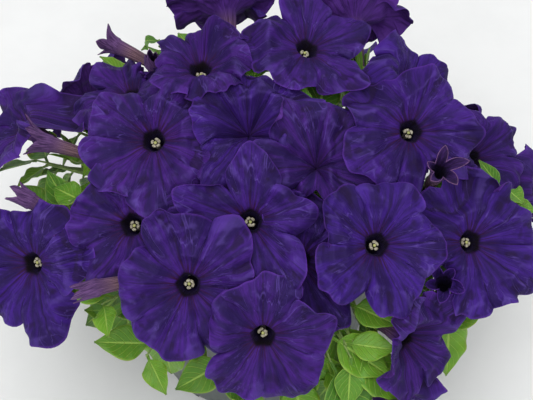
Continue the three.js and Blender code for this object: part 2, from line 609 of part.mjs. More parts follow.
// Each bloom bends below the blooms before it in the list. Buds stand clear and stay straight.
BLOOMS.forEach((bloom, i) => settle(bloom, i + 1, BLOOMS.slice(0, i)));
BUDS.forEach((bud, i) => settle(Object.assign(bud, BUD_SHAPE), BLOOMS.length + i + 1, []));

const stems = Array.from({ length: 6 }, (_, k) => stemCurve(k));
const flowers = [...BLOOMS, ...BUDS];

// Every flower and shoot is a branch, seated on the nearest stem, the lower ones further down it.
const flowerBranches = flowers.map((flower) => {
  const frame = tubeFrame(flower, 1);
  return { flower, frame, tip: frame.point(0, 0, -CALYX.depth), away: frame.z.clone().negate() };
});
const shootBranches = SHOOTS.map((row) => {
  const outward = outwardAt(onDome(row));
  const sink = row.free ? 0 : sinkBelow(onDome(row), outward, BLOOMS);
  const tip = onDome(row).addScaledVector(outward, -sink);
  const frame = new Frame(tip, heading(row.turn, row.rise), row.spin);
  return { row, frame, tip, away: frame.z.clone().negate() };
});
const branches = [...flowerBranches, ...shootBranches];
for (const branch of branches) branch.stem = nearestStem(branch.tip);
stems.forEach((stem, k) => {
  const own = branches.filter((branch) => branch.stem === k).sort((a, b) => a.tip.z - b.tip.z);
  own.forEach((branch, i) => {
    branch.path = stalkPath(branch, stem.getPointAt(lerp(...BRANCH.seats, i / (own.length - 1))));
  });
});

// Beads along a curve, for the petals to part round.
function beads(count, pointAt, radiusAt) {
  const shares = Array.from({ length: count + 1 }, (_, i) => i / count);
  return shares.map((t) => ({ at: pointAt(t), radius: radiusAt(t) }));
}

// The beads of a flower's tube and calyx, and of a bud's folded petals.
function flowerBeads(flower) {
  const tubeOrSepals = (t) => (t > 0.5 ? CALYX.tipRadius : tubeRadius(t));
  const tube = beads(8, (t) => tubeCentre(flower, 0.1 + 0.9 * t), tubeOrSepals);
  if (BLOOMS.includes(flower)) return tube;
  const along = (t) => flower.frame.point(0, 0, flower.cup * t);
  return [...tube, ...beads(3, along, (t) => lerp(TUBE.mouth, flower.radius, t))];
}

const stemBeads = stems.flatMap((stem) => beads(12, (t) => stem.getPoint(t), () => STEM.radius));
const branchBeads = ({ path }) => beads(16, (t) => path.getPoint(t), () => BRANCH.shoot);
for (const bloom of BLOOMS) {
  const others = flowers.filter((flower) => flower !== bloom).flatMap(flowerBeads);
  const stalks = branches.filter(({ flower }) => flower !== bloom).flatMap(branchBeads);
  findPassages(bloom, [...others, ...stemBeads, ...stalks]);
}

const plant = new THREE.Group();
plant.name = "potted_petunia";
const potShape = pot();
plant.add(mesh("pot", potShape, materials.pot));
plant.add(mesh("soil", soil(), materials.soil));
const blooms = BLOOMS.map((bloom) => corolla(bloom, BLOOM_SKIN));
const buds = BUDS.map((bud) => corolla(bud, BUD_SKIN));
BLOOMS.forEach((bloom, i) => {
  plant.add(mesh(`bloom_${bloom.name}`, blooms[i], materials.petal));
  if (!bloom.shut) plant.add(mesh(`stamens_${bloom.name}`, stamens(bloom), materials.stamen));
});
BUDS.forEach((bud, i) => plant.add(mesh(`bud_${bud.name}`, buds[i], materials.bud)));

// Each stem joins its stalks, calyces and shoots. A leaf that would cross the pot, a flower or another
// stem is left off.
const greens = stems.map((stem, k) => [
  ringSkin(ringsAlong(stem, vector(1, 0, 0), 4, 6, (t) => lerp(STEM.radius, STEM.tipRadius, t))),
  ...flowerBranches.filter((branch) => branch.stem === k).map(stalkedCalyx),
  ...shootBranches.filter((branch) => branch.stem === k).map(rod),
]);
for (const { row, frame, path, stem } of shootBranches) {
  for (const blade of shootLeaves(row, frame, path)) {
    const others = [potShape, ...blooms, ...buds, ...greens.filter((_, k) => k !== stem).flat()];
    if (others.every((other) => blade.intersect(other).isEmpty())) greens[stem].push(blade);
  }
}
greens.forEach((pieces, k) => {
  plant.add(mesh(`leafy_stem_${k + 1}`, pieces.reduce((all, one) => all.add(one)), materials.leaf));
});

export default plant;
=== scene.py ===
# The finished surfaces of a petunia in bloom in a round plastic pot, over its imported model.
# Shapes are worked out in millimetres, +Z up and the front at -Y, and made_piece turns them into metres.
# Every shape is a skin over rings of points: a corolla's rings run from the foot of its tube to the rim and
# back inside, a leaf's are its cross sections, and a stalk's are circles along its path.

import math
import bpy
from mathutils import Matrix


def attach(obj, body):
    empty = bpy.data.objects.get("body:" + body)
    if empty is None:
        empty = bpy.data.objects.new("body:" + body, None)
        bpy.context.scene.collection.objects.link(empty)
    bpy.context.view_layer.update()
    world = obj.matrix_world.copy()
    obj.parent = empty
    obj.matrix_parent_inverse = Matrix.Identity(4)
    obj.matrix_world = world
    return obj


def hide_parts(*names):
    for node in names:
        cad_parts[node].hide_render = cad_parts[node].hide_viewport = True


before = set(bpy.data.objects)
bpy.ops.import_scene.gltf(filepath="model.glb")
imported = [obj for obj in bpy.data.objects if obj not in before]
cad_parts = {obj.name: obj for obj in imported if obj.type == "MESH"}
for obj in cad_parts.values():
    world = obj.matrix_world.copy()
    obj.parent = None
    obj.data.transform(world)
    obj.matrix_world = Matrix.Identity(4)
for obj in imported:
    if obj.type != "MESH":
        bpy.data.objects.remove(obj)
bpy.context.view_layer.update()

from types import SimpleNamespace

import bpy
import numpy as np
from mathutils import Vector

MM = 0.001
TURN = 2 * math.pi
UP = np.array([0.0, 0.0, 1.0])

# Driving dimensions. Those of the pot, soil, dome and stems and of the tubes' outsides are the packed
# model's, and those of petals, sepals and stalks are finer. In LAYERS, gap is the clearance between the
# petals of one bloom and the next, which a lower petal starts to leave margin beyond the upper rim, and held
# is the share of a petal that stays put. GRID is the coarse grid on which the blooms' layers are settled.
POT = SimpleNamespace(foot=56, top=75, height=120, wall=1.6, floor=2.4, band=13, step=2.2)
RIBS = SimpleNamespace(count=36, depth=0.28, steps=24)
DRAIN = SimpleNamespace(count=6, width=12, height=5, depth=16)
SOIL = SimpleNamespace(edge=106, dome=5, clear=0.5, seat=0.3, margin=0.3, rough=0.5, finer=0.35)
CRUMBS = SimpleNamespace(count=420, least=0.7, more=1.6, spread=0.96)
DOME = SimpleNamespace(centre=np.array([0.0, 8.0, 120.0]), axes=np.array([150.0, 125.0, 90.0]))
TUBE = SimpleNamespace(length=33, base=2.1, waist=3.6, mouth=6, bend=4, waist_at=0.42, floor_at=0.5,
                       flute=0.06)
PETAL = SimpleNamespace(thickness=0.45, rim=0.2, notch=0.2, tip=0.085, point=12, droop=4, pleat=2.5,
                        usual=34.0)
LAYERS = SimpleNamespace(gap=2.8, margin=4, reach=30, slope=1.1, softness=2, held=0.35, steps=4,
                         least=0.25)
GRID = SimpleNamespace(rings=20, spokes=120)
PASSAGE = SimpleNamespace(clear=1.2, opening=2.0, least=9)
CALYX = SimpleNamespace(radius=3.6, depth=4, cup=3.5, sepal=14.5, width=1.9, thickness=0.7, foot=3.4,
                        flare=2.6, stray=1.5, room=5.7)
ANTHER = SimpleNamespace(depth=4.6, reach=1.55, stray=0.5, uneven=1.4, length=1.15, width=0.8, filament=0.28)
STIGMA = SimpleNamespace(rise=0.8, length=0.6, width=0.85, style=0.35)
STEM = SimpleNamespace(radius=2.6, tip=2, root=24, ring=9, spread=26, top=152, elbow=132)
BRANCH = SimpleNamespace(stalk=1.1, shoot=1.4, tip=0.35, seats=(0.45, 0.98), over_rim=9, beside=7,
                         inside=4)
LEAF = SimpleNamespace(thickness=0.55, seat=0.8, breadth=0.3, fold=0.22, droop=0.3, neck=0.8, point=0.08,
                       give=0.5)
VEINS = SimpleNamespace(count=8.0, slant=2.6, depth=0.012)
SPIRAL = SimpleNamespace(turn=137.5, spacing=7, open=48, opening=9, light=1.6, youngest=0.55,
                         growth=0.2)

# Tables by count of waves, round a bloom or, in MARGIN, along a leaf's edge. WAVES and the finer RUFFLES of
# the rim are heights in millimetres, UNEVEN, SCALLOPS and TIPS are shares of the reach or of a petal's tip,
# ROLLS are curvatures of the rim, and LOBES are shares of the length of a bud's lobes.
WAVES = {2: 1.7, 3: 1.5, 5: 1.3, 7: 1.1}
UNEVEN = {2: 0.045, 3: 0.045, 5: 0.02}
RUFFLES = {9: 0.8, 12: 0.65, 16: 0.5, 21: 0.35, 29: 0.25}
SCALLOPS = {9: 0.014, 13: 0.012, 19: 0.01, 27: 0.007}
TIPS = {1: 0.6, 2: 0.7}
ROLLS = {2: 0.02, 3: 0.026, 5: 0.035, 8: 0.03}
LOBES = {1: 0.16, 2: 0.1}
MARGIN = {2: 0.9, 3: 0.7, 5: 0.35}

# The petals' relief: the groove of a midrib or a junction, the lap of one petal over the next, sharp folds,
# faint crumples, and the bend of a petal along its midrib. CALM is how far all of it fades where a petal is
# bent clear of the blooms above. SMOOTHING counts the rounds of averaging that give the level surface which
# relief is measured from. PINCH is a throat that is pinched shut.
CREASE = SimpleNamespace(midrib=0.5, junction=0.8, width=1.0)
TUCK = SimpleNamespace(width=0.15, fold=2.5, step=2.0)
FOLD = SimpleNamespace(count=7, size=3.0, width=4.0, bend=0.6, soft=0.5, midrib=1.0)
CRUMPLE = SimpleNamespace(waves=8, shortest=6, longest=24, slope=0.03, warp=1.1)
ROOF = SimpleNamespace(size=5.6, least=-0.45, most=1.0)
CALM = SimpleNamespace(share=0.75, start=0.8, full=4.0)
SMOOTHING = 3
PINCH = SimpleNamespace(close=0.95, sunk=7, folds=3.6, neck=0.12, start=0.27, end=0.75)

# The five lobes of a bud. By the bud's name, OPEN widens them, SHORT shortens them and FULL rounds them, and
# the VIOLET ones have the petals' own colour.
LOBE = SimpleNamespace(mouth=4.2, waist=3.0, least=0.45, length=0.95, spread=1.05, flare=1.8, fold=0.4,
                       twist=0.4, thickness=0.4, flute=0.07)
OPEN = {"2": 0.9, "3": 0.7, "4": 0.5, "5": 0.3, "7": 1.15}
FULL = {"7": 0.65}
VIOLET = {"7"}
SHORT = {"1": 0.7, "2": 0.85}

# Leafy shoots that fill the inside of the plant, in rings at the given latitudes. By chance they turn by
# about spread degrees and move by about stray degrees. clear is their distance from the pot, petal and tube
# what they leave round petals and tubes, and shorter the lengths that a single leaf tries.
FILL = SimpleNamespace(lons=15, lats=(-14, 16, 42, 64), lift=-34, spread=9, stray=4, rise=0.7, leaves=3,
                       size=38, least=0.8, more=0.3, clear=2, petal=1.0, tube=0.5,
                       shorter=(1, 0.88, 0.76, 0.64, 0.52))

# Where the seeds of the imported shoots, the single leaves and the shoots inside start, and the seeds of the
# random draws for the shoots inside and for the soil.
SEEDS = SimpleNamespace(shoot=200, leaf=400, filling=500, inside=5, soil=11)

# How many rings or sections each surface has, and how many points round it. A petal's count is of spokes
# from its midrib to a junction.
FINE = SimpleNamespace(limb=46, petal=16, tube=14, throat=9, lobe=26, bud_tube=20, bud_throat=6, leaf=30,
                       across=13, sepal=12, stem=41, stem_round=12, stalk=25, stalk_round=10, cup=7,
                       cup_round=20, pot_round=288, soil=40, soil_round=120)

# The lights of the studio: name, turn and rise of their direction, distance and size in metres, and power.
# The camera aims at a point given in millimetres. FLOOR is half the width of the floor in metres, and
# DAYLIGHT the strength of the white surroundings.
LIGHTS = [("key", -8, 66, 1.6, 1.5, 22.5), ("fill", -5, 40, 1.8, 1.2, 5.5), ("back", 170, 55, 1.8, 1.2, 3.0)]
CAMERA = SimpleNamespace(aim=np.array([6.4, 0.0, 124.0]), rise=50, distance=0.8, sensor=36.0, lens=101.4)
FLOOR = 4.0
DAYLIGHT = 0.62

# Blooms, the uppermost layer first: name, then lon, lat and lift of the throat on the flower dome (lon 0 is
# the front and 90 the right), turn and rise of the face, the petals' radius, cup and roll.
BLOOMS = [
    ("01", -127, 76, -10, -150, 86, 26, 10, 10),
    ("02", 147, 69, -10, 70, 72, 34, 9, 30),
    ("09", 2, 19, -6, 0, 28, 34, 8, 18),
    ("06", -15, 33, -8, -6, 45, 38, 9, 36),
    ("05", -1, 52, -10, -5, 54, 34, 9, 20),
    ("07", 33, 39, -10, 18, 55, 35, 9, 60),
    ("03", 77, 55, -10, 20, 58, 36, 9, 55),
    ("08", 56, 24, -8, 36, 48, 38, 9, 5),
    ("12", 34, 65, -18, 8, 62, 37, 14, 40),
    ("21", -6, 79, -18, -5, 68, 35, 14, 25),
    ("04", -59, 65, -14, -20, 62, 38, 9, 15),
    ("10", -38, 43, -18, -30, 52, 35, 8, 48),
    ("14", 32, 4, -8, 42, 12, 28, 15, 22),
    ("11", -55, 15, -10, -38, 34, 37, 9, 33),
    ("13", 13, 38, -25, 12, 34, 36, 8, 12),
    ("18", -115, 54, -27, -120, 58, 33, 9, 8),
    ("16", -171, 44, -10, -170, 16, 31, 11, 28),
    ("15", 150, 41, -8, -174, 8, 33, 11, 50),
    ("24", 112, 48, -20, 100, 50, 29, 12, 18),
    ("19", 92, 23, -24, 80, 45, 28, 13, 44),
    ("20", 88, -3, -2, 95, 15, 30, 11, 30),
    ("17", -98, 28, -12, -95, 32, 35, 10, 56),
    ("22", 28, -24, 5, 30, -20, 27, 12, 35),
    ("23", 165, 2, -12, 168, 18, 33, 9, 14),
    ("25", -132, -2, -22, -135, 18, 33, 9, 62),
    ("26", 118, -6, -22, 122, 15, 32, 9, 40),
]

# Blooms without anthers in sight, and the two of them whose throats are pinched shut.
SHUT = {"12", "21", "14", "18", "24", "19", "22"}
PINCHED = {"12", "21"}

# Where a bloom's outline departs from five even petals: the direction in degrees round its face, from its
# viewer's right, how many degrees wide the change is, and the share of the reach that it adds.
OUTLINES = {
    "01": [(90, 40, 0.06), (194, 18, 0.2), (212, 14, 0.08), (230, 22, -0.4), (276, 18, 0.14)],
    "03": [(60, 30, -0.08), (180, 20, 0.05), (270, 25, 0.1), (82, 7, -0.12), (354, 32, -0.17),
           (297, 18, 0.16)],
    "04": [(110, 32, -0.25), (185, 22, -0.08), (225, 18, -0.12), (0, 26, 0.22), (290, 16, 0.06)],
    "05": [(90, 26, -0.02), (180, 30, -0.1), (36, 18, -0.22)],
    "06": [(98, 22, -0.14), (180, 28, -0.1), (247, 16, -0.2), (57, 14, 0.16), (28, 14, -0.1),
           (302, 16, 0.12)],
    "07": [(0, 28, -0.2), (35, 16, 0.05), (150, 18, -0.1), (240, 20, 0.04)],
    "08": [(180, 30, 0.05), (315, 30, 0.08), (0, 20, -0.06), (240, 18, 0.08), (281, 14, -0.17)],
    "09": [(175, 26, -0.32), (270, 40, 0.08), (205, 14, 0.08), (60, 14, 0.1), (122, 14, 0.12),
           (92, 10, -0.12)],
    "10": [(347, 28, -0.4)],
    "11": [(116, 26, -0.28)],
    "12": [(255, 36, -0.5)],
    "21": [(200, 30, -0.24), (165, 18, -0.15)],
}

# How deep each of the five notches is, in shares of the usual depth, in turn round the face. Blooms that
# aren't named have them by chance.
NOTCHES = {
    "01": (0.3, 0.2, 0.2, 0.4, 1.1),
    "03": (0.5, 1.2, 1.0, 1.6, 0.8),
    "04": (0.8, 1.0, 0.4, 1.0, 1.3),
    "05": (2.2, 2.4, 2.1, 2.4, 2.2),
    "06": (0.8, 1.0, 1.0, 1.1, 1.3),
    "07": (0.9, 1.4, 1.8, 1.1, 1.9),
    "08": (0.8, 1.2, 1.5, 0.2, 0.6),
    "09": (1.7, 0.8, 2.1, 1.3, 1.0),
    "12": (1.3, 2.1, 1.9, 2.0, 1.3),
    "14": (0.6, 0.8, 0.6, 0.7, 0.6),
}

# Rims that curl: the direction round the face, the width in degrees, and the curvature towards the viewer.
CURLS = {
    "02": [(215, 22, 0.09), (75, 16, 0.07)],
    "03": [(150, 20, 0.08), (330, 22, -0.08)],
    "04": [(110, 24, -0.1), (320, 20, -0.08)],
    "05": [(140, 18, 0.16), (40, 14, -0.07)],
    "06": [(100, 24, 0.06), (195, 14, -0.09)],
    "07": [(150, 20, 0.17), (70, 18, -0.07)],
    "08": [(60, 22, 0.12), (180, 20, -0.06)],
    "09": [(30, 16, 0.12), (330, 20, -0.08)],
    "10": [(347, 30, -0.12), (172, 24, 0.06)],
    "11": [(70, 25, 0.08), (250, 20, -0.07)],
    "12": [(200, 25, -0.12), (130, 16, 0.12)],
    "14": [(150, 26, 0.12), (210, 22, 0.1)],
    "15": [(90, 30, 0.1), (210, 24, -0.1)],
    "16": [(60, 30, 0.12), (170, 26, 0.1)],
    "17": [(100, 30, 0.08)],
    "18": [(120, 26, 0.1), (30, 20, -0.1)],
}

# Closed buds and spent blooms, in the same columns.
BUDS = [
    ("1", -130, 48, -8, -105, 20, 9, 13, 10),
    ("2", -80, 43, -8, -95, 15, 10, 16, 30),
    ("3", -66, 31, -8, -105, 30, 8, 12, 20),
    ("4", -34, 26, -2, -80, -8, 9, 13, 45),
    ("5", -124, 63, -12, -20, 75, 8, 10, 0),
    ("6", 62, 46, -2, 20, 66, 10, 12, 18),
    ("7", 45, 16, -12, -10, 60, 8, 13, 5),
]

# Leafy shoots: lon, lat and lift of the tip, turn and rise of the way it grows, the turn of its first leaf,
# how many leaves it has and how long a full-grown one is. All but the one in row FREE_SHOOT, counted from 0,
# sink below the petals above them.
SHOOTS = [
    (-147, 45, -16, -150, 60, 0, 3, 26),
    (180, 61, -20, 180, 80, 30, 3, 28),
    (90, 76, -18, 60, 80, 100, 3, 34),
    (-61, 37, -18, -75, 30, 64, 4, 32),
    (-35, 14, -16, -45, 5, 20, 3, 38),
    (-24, -8, -16, -28, -10, 0, 3, 40),
    (-6, -14, -16, -6, -14, 50, 3, 42),
    (20, 4, -16, 22, 15, 10, 4, 46),
    (16, -16, -16, 16, -14, 70, 3, 44),
    (46, -10, -14, 50, 0, 40, 4, 44),
    (76, 25, -6, 60, 50, 80, 3, 30),
    (61, 40, -14, 50, 66, 15, 2, 26),
    (105, 6, -30, 105, 10, 35, 3, 42),
    (142, -4, -20, 142, 5, 55, 4, 44),
    (178, 18, -24, 178, 20, 25, 3, 42),
    (-160, -6, -20, -158, 0, 65, 4, 44),
    (-105, -2, -24, -100, 5, 45, 4, 44),
]
FREE_SHOOT = 10

# Single leaves in sight under the blooms: lon, lat and lift of the foot, turn and rise of the way each grows,
# and its length. One that finds no room is shortened or left out.
SIDE_LEAVES = [
    (16, 0, -12, 35, -35, 44),
    (22, 3, -14, 52, -28, 38),
    (17, 6, -22, 60, -8, 36),
    (20, 2, -10, 0, -35, 26),
    (24, 14, -30, 60, 12, 34),
    (47, -2, -14, 14, -50, 38),
    (-2, -14, -14, 10, -50, 34),
    (8, -14, -16, 30, -45, 36),
    (-36, 6, -42, -78, -34, 38),
    (180, 84, -18, 175, 40, 30),
    (72, 20, -4, 80, 22, 24),
    (76, 24, -4, 55, 30, 22),
    (-150, 62, -20, -140, 55, 28),
    (70, 32, -24, 60, 20, 32),
    (62, -8, -52, 75, 5, 34),
    (58, 0, -46, 60, 10, 34),
    (14, 2, -18, 32, -74, 37),
    (18, -15, -11, -67, -57, 25),
    (31, -23, -22, -153, 72, 35),
]

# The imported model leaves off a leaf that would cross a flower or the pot. A leaf is there if its tip is
# within this distance of the solid's corners.
LEAF_MATCH = 9


def unit(v):
    """A vector, or an array of them, at length 1."""
    return v / np.linalg.norm(v, axis=-1, keepdims=True)


def lerp(a, b, t):
    """The value that lies the share t of the way from a to b."""
    return a + (b - a) * t


def smoothstep(x, low, high):
    """0 below low and 1 above high, with 3t^2 - 2t^3 between them."""
    t = np.clip((x - low) / (high - low), 0.0, 1.0)
    return t * t * (3 - 2 * t)


def heading(turn, rise):
    """The unit vector that points turn degrees round from the front, to the right, and rise degrees up."""
    a, e = math.radians(turn), math.radians(rise)
    return np.array([math.sin(a) * math.cos(e), -math.cos(a) * math.cos(e), math.sin(e)])


def on_dome(lon, lat, lift):
    """The point of the flower dome at lon and lat, moved outwards by lift."""
    return heading(lon, lat) * (DOME.axes + lift) + DOME.centre


def phase(seed, k):
    """A repeatable angle for wave number k of a seeded piece."""
    scattered = math.sin(seed * 12.9898 + k * 78.233) * 43758.5453
    return TURN * (scattered - math.floor(scattered))


def chance(seed, k):
    """A repeatable share from 0 to 1."""
    return phase(seed, k) / TURN


def sine_sum(seed, angle, table):
    """The sum of size * sin(k * angle + phase) over a table of sizes by wave count k."""
    return sum(size * np.sin(k * angle + phase(seed, k)) for k, size in table.items())


class Axes:
    """An origin with directions x, y and z. x is level until it is turned about z by roll degrees."""

    def __init__(self, origin, z, roll=0.0):
        """Axes at origin whose z lies along the given z."""
        self.origin = np.asarray(origin, float)
        self.z = unit(np.asarray(z, float))
        level = np.array([1.0, 0.0, 0.0]) if abs(self.z[2]) > 0.999 else unit(np.cross(UP, self.z))
        a = math.radians(roll)
        self.set_x(level * math.cos(a) + np.cross(self.z, level) * math.sin(a))

    def set_x(self, x):
        """Makes x the part of a vector that is square to z."""
        self.x = unit(x - (x @ self.z) * self.z)
        self.y = np.cross(self.z, self.x)

    def point(self, x, y, z):
        """Points from their local x, y and z, given as numbers or arrays."""
        x, y, z = np.broadcast_arrays(x, y, z)
        return self.origin + x[..., None] * self.x + y[..., None] * self.y + z[..., None] * self.z

    def local(self, points):
        """The local x, y and z of points."""
        d = points - self.origin
        return d @ self.x, d @ self.y, d @ self.z


def turn_from(at, angle):
    """How far angle is turned from at, between -pi and pi."""
    return (angle - at + math.pi) % TURN - math.pi


def bumps(bloom, angle, rows):
    """The sum of size * exp(-(turn from the row's direction / width)^2) over rows of direction, width and
    size."""
    total = 0 * angle
    for at, width, size in rows:
        apart = turn_from(math.radians(at - bloom.roll), angle)
        total = total + size * np.exp(-((apart / math.radians(width)) ** 2))
    return total


def petal_reach(bloom, angle):
    """How far the limb reaches from its axis: it dips at the five notches, has a small tip between, and
    follows the bloom's own outline."""
    angle = np.asarray(angle, float) % TURN
    middle = np.abs(np.cos(2.5 * angle))
    depth = np.array(bloom.notches)[(angle / (TURN / 5)).astype(int) % 5]
    dip = bloom.notch * (1 - middle) ** 1.6 * depth
    tip = PETAL.tip * middle**PETAL.point * (1 + sine_sum(bloom.seed + 0.3, angle, TIPS))
    edge = sine_sum(bloom.seed, angle, UNEVEN) + bloom.wave * sine_sum(bloom.seed, angle, SCALLOPS)
    return bloom.radius * (1 - dip + tip + edge) * (1 + bumps(bloom, angle, bloom.outline))


def petal_height(bloom, s, angle):
    """The limb's height at s, from 0 at the tube to 1 at the rim: a flared cup with a drooping rim, a valley
    between petals, and slow waves that grow as s^2."""
    valley = (1 - np.abs(np.cos(2.5 * angle))) ** 2
    flare = bloom.cup * (1 - (1 - s) ** 2) - bloom.droop * s**4
    return flare - PETAL.pleat * s * valley + s * s * bloom.wave * sine_sum(bloom.seed, angle, WAVES)


def crease_depth(s, angle, away):
    """A groove along each midrib and each junction: depth * exp(-(distance / width)^2), fading in and out."""
    def groove(offset, depth):
        """The groove along the five lines that start at offset."""
        apart = (angle - offset + TURN / 10) % (TURN / 5) - TURN / 10
        return depth * np.exp(-((apart * away / CREASE.width) ** 2))

    shown = smoothstep(s, 0.02, 0.2) * (1 - 0.6 * smoothstep(s, 0.7, 1.0))
    return shown * (groove(0, CREASE.midrib) + groove(TURN / 10, CREASE.junction))


def settled_height(bloom, x, y):
    """A bloom's height at a place in its own axes, between the points of its settled grid. Past the rim it
    climbs steeply, so that a lower petal comes out from under the rim before it rises."""
    angle = np.arctan2(y, x)
    reach = petal_reach(bloom, angle)
    away = np.hypot(x, y)
    ring = np.clip((away - TUBE.mouth) / (reach - TUBE.mouth), 0, 1) * GRID.rings
    spoke = (angle / TURN % 1) * GRID.spokes
    r = np.minimum(ring.astype(int), GRID.rings - 1)
    a = spoke.astype(int) % GRID.spokes
    b = (a + 1) % GRID.spokes
    grid = bloom.heights
    lower = lerp(grid[r, a], grid[r, b], spoke % 1)
    upper = lerp(grid[r + 1, a], grid[r + 1, b], spoke % 1)
    return lerp(lower, upper, ring - r) + LAYERS.slope * np.maximum(0, away - reach - LAYERS.margin)


def sink_below(points, upwards, above):
    """How far points sink, against the direction upwards, to pass below the blooms above them: the largest
    sink that any of those blooms asks for, made never negative by half of (sink + hypot(sink, softness))."""
    most = np.full(points.shape[:-1], -np.inf)
    for bloom in above:
        agreement = upwards @ bloom.axes.z
        if agreement < LAYERS.least:
            continue
        sink = np.zeros(most.shape)
        near = np.ones(most.shape, bool)
        for _ in range(LAYERS.steps):
            x, y, z = bloom.axes.local(points - sink[..., None] * upwards)
            near &= np.hypot(x, y) < bloom.radius + LAYERS.reach
            sink += (z - settled_height(bloom, x, y) + LAYERS.gap) / agreement
        most = np.where(near, np.maximum(most, sink), most)
    return np.where(np.isinf(most), 0.0, 0.5 * (most + np.hypot(most, LAYERS.softness)))


def open_reach(bloom, angle):
    """The reach that is left where other tubes and stalks pass through the petals, which part round them."""
    least = np.full(angle.shape, np.inf)
    for at, reach in bloom.passages:
        least = np.minimum(least, reach + PASSAGE.opening * bloom.radius * np.abs(turn_from(at, angle)))
    return least


def rolled(bloom, s, angle, away, height, calm):
    """The rim's roll. Past roll_start the petal bends by a steady curvature c: a length l moves on by
    sin(c l) / c instead of l, and rises by (1 - cos(c l)) / c."""
    length = np.maximum(0, s - bloom.roll_start) * (bloom.radius - TUBE.mouth)
    bend = calm * (bloom.wave * sine_sum(bloom.seed + 0.5, angle, ROLLS) + bumps(bloom, angle, bloom.curls))
    safe = np.where(np.abs(bend) < 1e-4, 1e-4, bend)
    onward = np.sin(safe * length) / safe - length
    return away + onward, height + (1 - np.cos(safe * length)) / safe


def tucked(bloom, s, angle):
    """Where one petal laps over the next. Round each junction, with u the turn from it in widths, the spokes
    shift by -size * fold * u * exp(-u^2), which doubles the petal back on itself, and the two sides step
    apart by size * step * tanh(2.5 u) * exp(-(u / 2.2)^2)."""
    shifted, height = angle + 0 * s, 0 * angle + 0 * s
    for k in range(5):
        size = bloom.wave * (2 * chance(bloom.seed, 20 + k) - 1)
        u = turn_from(TURN * (k + 0.5) / 5, angle) / TUCK.width
        shown = smoothstep(s, 0.3, 0.95)
        shifted = shifted - abs(size) * TUCK.fold * shown * TUCK.width * u * np.exp(-u * u)
        height = height + size * TUCK.step * shown * np.tanh(2.5 * u) * np.exp(-((u / 2.2) ** 2))
    return shifted, height


def crumple(bloom, x, y):
    """Faint uneven relief: a sum of waves with sharp crests, 1 - 2 |sin(half the phase)|, of lengths from
    shortest to longest. Each is as high as slope times its length and wanders from side to side."""
    relief = 0 * x
    for k in range(CRUMPLE.waves):
        length = lerp(CRUMPLE.shortest, CRUMPLE.longest, (k + chance(bloom.seed, 100 + k)) / CRUMPLE.waves)
        turn = phase(bloom.seed, 110 + k)
        along = (x * math.cos(turn) + y * math.sin(turn)) * TURN / length + phase(bloom.seed, 120 + k)
        across = (y * math.cos(turn) - x * math.sin(turn)) * TURN / (1.6 * length)
        across = across + phase(bloom.seed, 130 + k)
        wave = along + CRUMPLE.warp * np.sin(across)
        relief = relief + CRUMPLE.slope * length * (1 - 2 * np.abs(np.sin(0.5 * wave)))
    return relief


def folded(bloom, s, angle, away):
    """Sharp folds that run outwards, one up along each midrib and others by chance: size * exp(-d / width),
    where d is the distance from a line that leaves the throat and bends as it goes."""
    height = 0 * away
    for k in range(FOLD.count + 5):
        if k < FOLD.count:
            line = phase(bloom.seed, 140 + k) + FOLD.bend * (2 * chance(bloom.seed, 150 + k) - 1) * s
            size, width = FOLD.size * (1.7 * chance(bloom.seed, 160 + k) - 0.7), FOLD.width
        else:
            line = TURN * k / 5 + 0.1 * FOLD.bend * (2 * chance(bloom.seed, 150 + k) - 1) * s
            size, width = FOLD.midrib * (2 * chance(bloom.seed, 160 + k) - 0.6), 0.4 * FOLD.width
        distance = np.hypot(turn_from(line, angle) * away, FOLD.soft) - FOLD.soft
        begins = 0.1 + 0.4 * chance(bloom.seed, 170 + k)
        height = height + size * smoothstep(s, begins, begins + 0.4) * np.exp(-distance / width)
    return height


def roofed(bloom, s, angle):
    """Petals bent along their midribs: with a size for each petal, size * s * (1 - |sin(2.5 angle)|), which
    is a sharp ridge or a sharp valley along the midrib and nothing at the junctions."""
    sizes = [ROOF.size * lerp(ROOF.least, ROOF.most, chance(bloom.seed, 180 + k)) for k in range(5)]
    lobe = np.rint(angle / (TURN / 5)).astype(int) % 5
    return np.array(sizes)[lobe] * smoothstep(s, 0.0, 0.9) * (1 - np.abs(np.sin(2.5 * angle)))


def plain_limb(bloom, s, angle):
    """The reach and height of a bloom's limb without its fine relief, and how far it sinks to clear the
    blooms above. A pinched throat closes and sinks by (1 - s)^3, and its folds meet in it."""
    reach = np.minimum(petal_reach(bloom, angle), open_reach(bloom, angle))
    away = TUBE.mouth + (reach - TUBE.mouth) * s
    height = petal_height(bloom, s, angle)
    if bloom.pinched:
        closed = (1 - s) ** 3
        swell = np.sin(math.pi * np.clip(1.6 * s, 0, 1))
        folds = PINCH.folds * swell * (1.4 * np.abs(np.cos(2.5 * angle)) - 1)
        away = away * (1 - PINCH.close * closed)
        height = height - PINCH.sunk * closed + folds
    free = bloom.axes.point(away * np.cos(angle), away * np.sin(angle), height)
    return away, height, smoothstep(s, 0, LAYERS.held) * sink_below(free, bloom.axes.z, bloom.above)


def limb(bloom, s, angle):
    """Points of a bloom's limb on a grid of s by angle, with its creases, folds, laps, rolls and ruffles,
    which are calmer where it is bent clear of the blooms above."""
    away, height, sink = plain_limb(bloom, s, angle)
    calm = 1 - CALM.share * smoothstep(sink, CALM.start, CALM.full)
    turned, lap = tucked(bloom, s, angle)
    x, y = away * np.cos(angle), away * np.sin(angle)
    ruffles = s**4 * sine_sum(bloom.seed, angle, RUFFLES)
    fine = ruffles + folded(bloom, s, angle, away) + roofed(bloom, s, angle)
    fine = fine + smoothstep(s, 0, 0.4) * crumple(bloom, x, y)
    detail = calm * (lap + bloom.wave * fine) - crease_depth(s, angle, away)
    away, height = rolled(bloom, s, angle, away, height + detail, calm)
    return bloom.axes.point(away * np.cos(turned), away * np.sin(turned), height - sink)


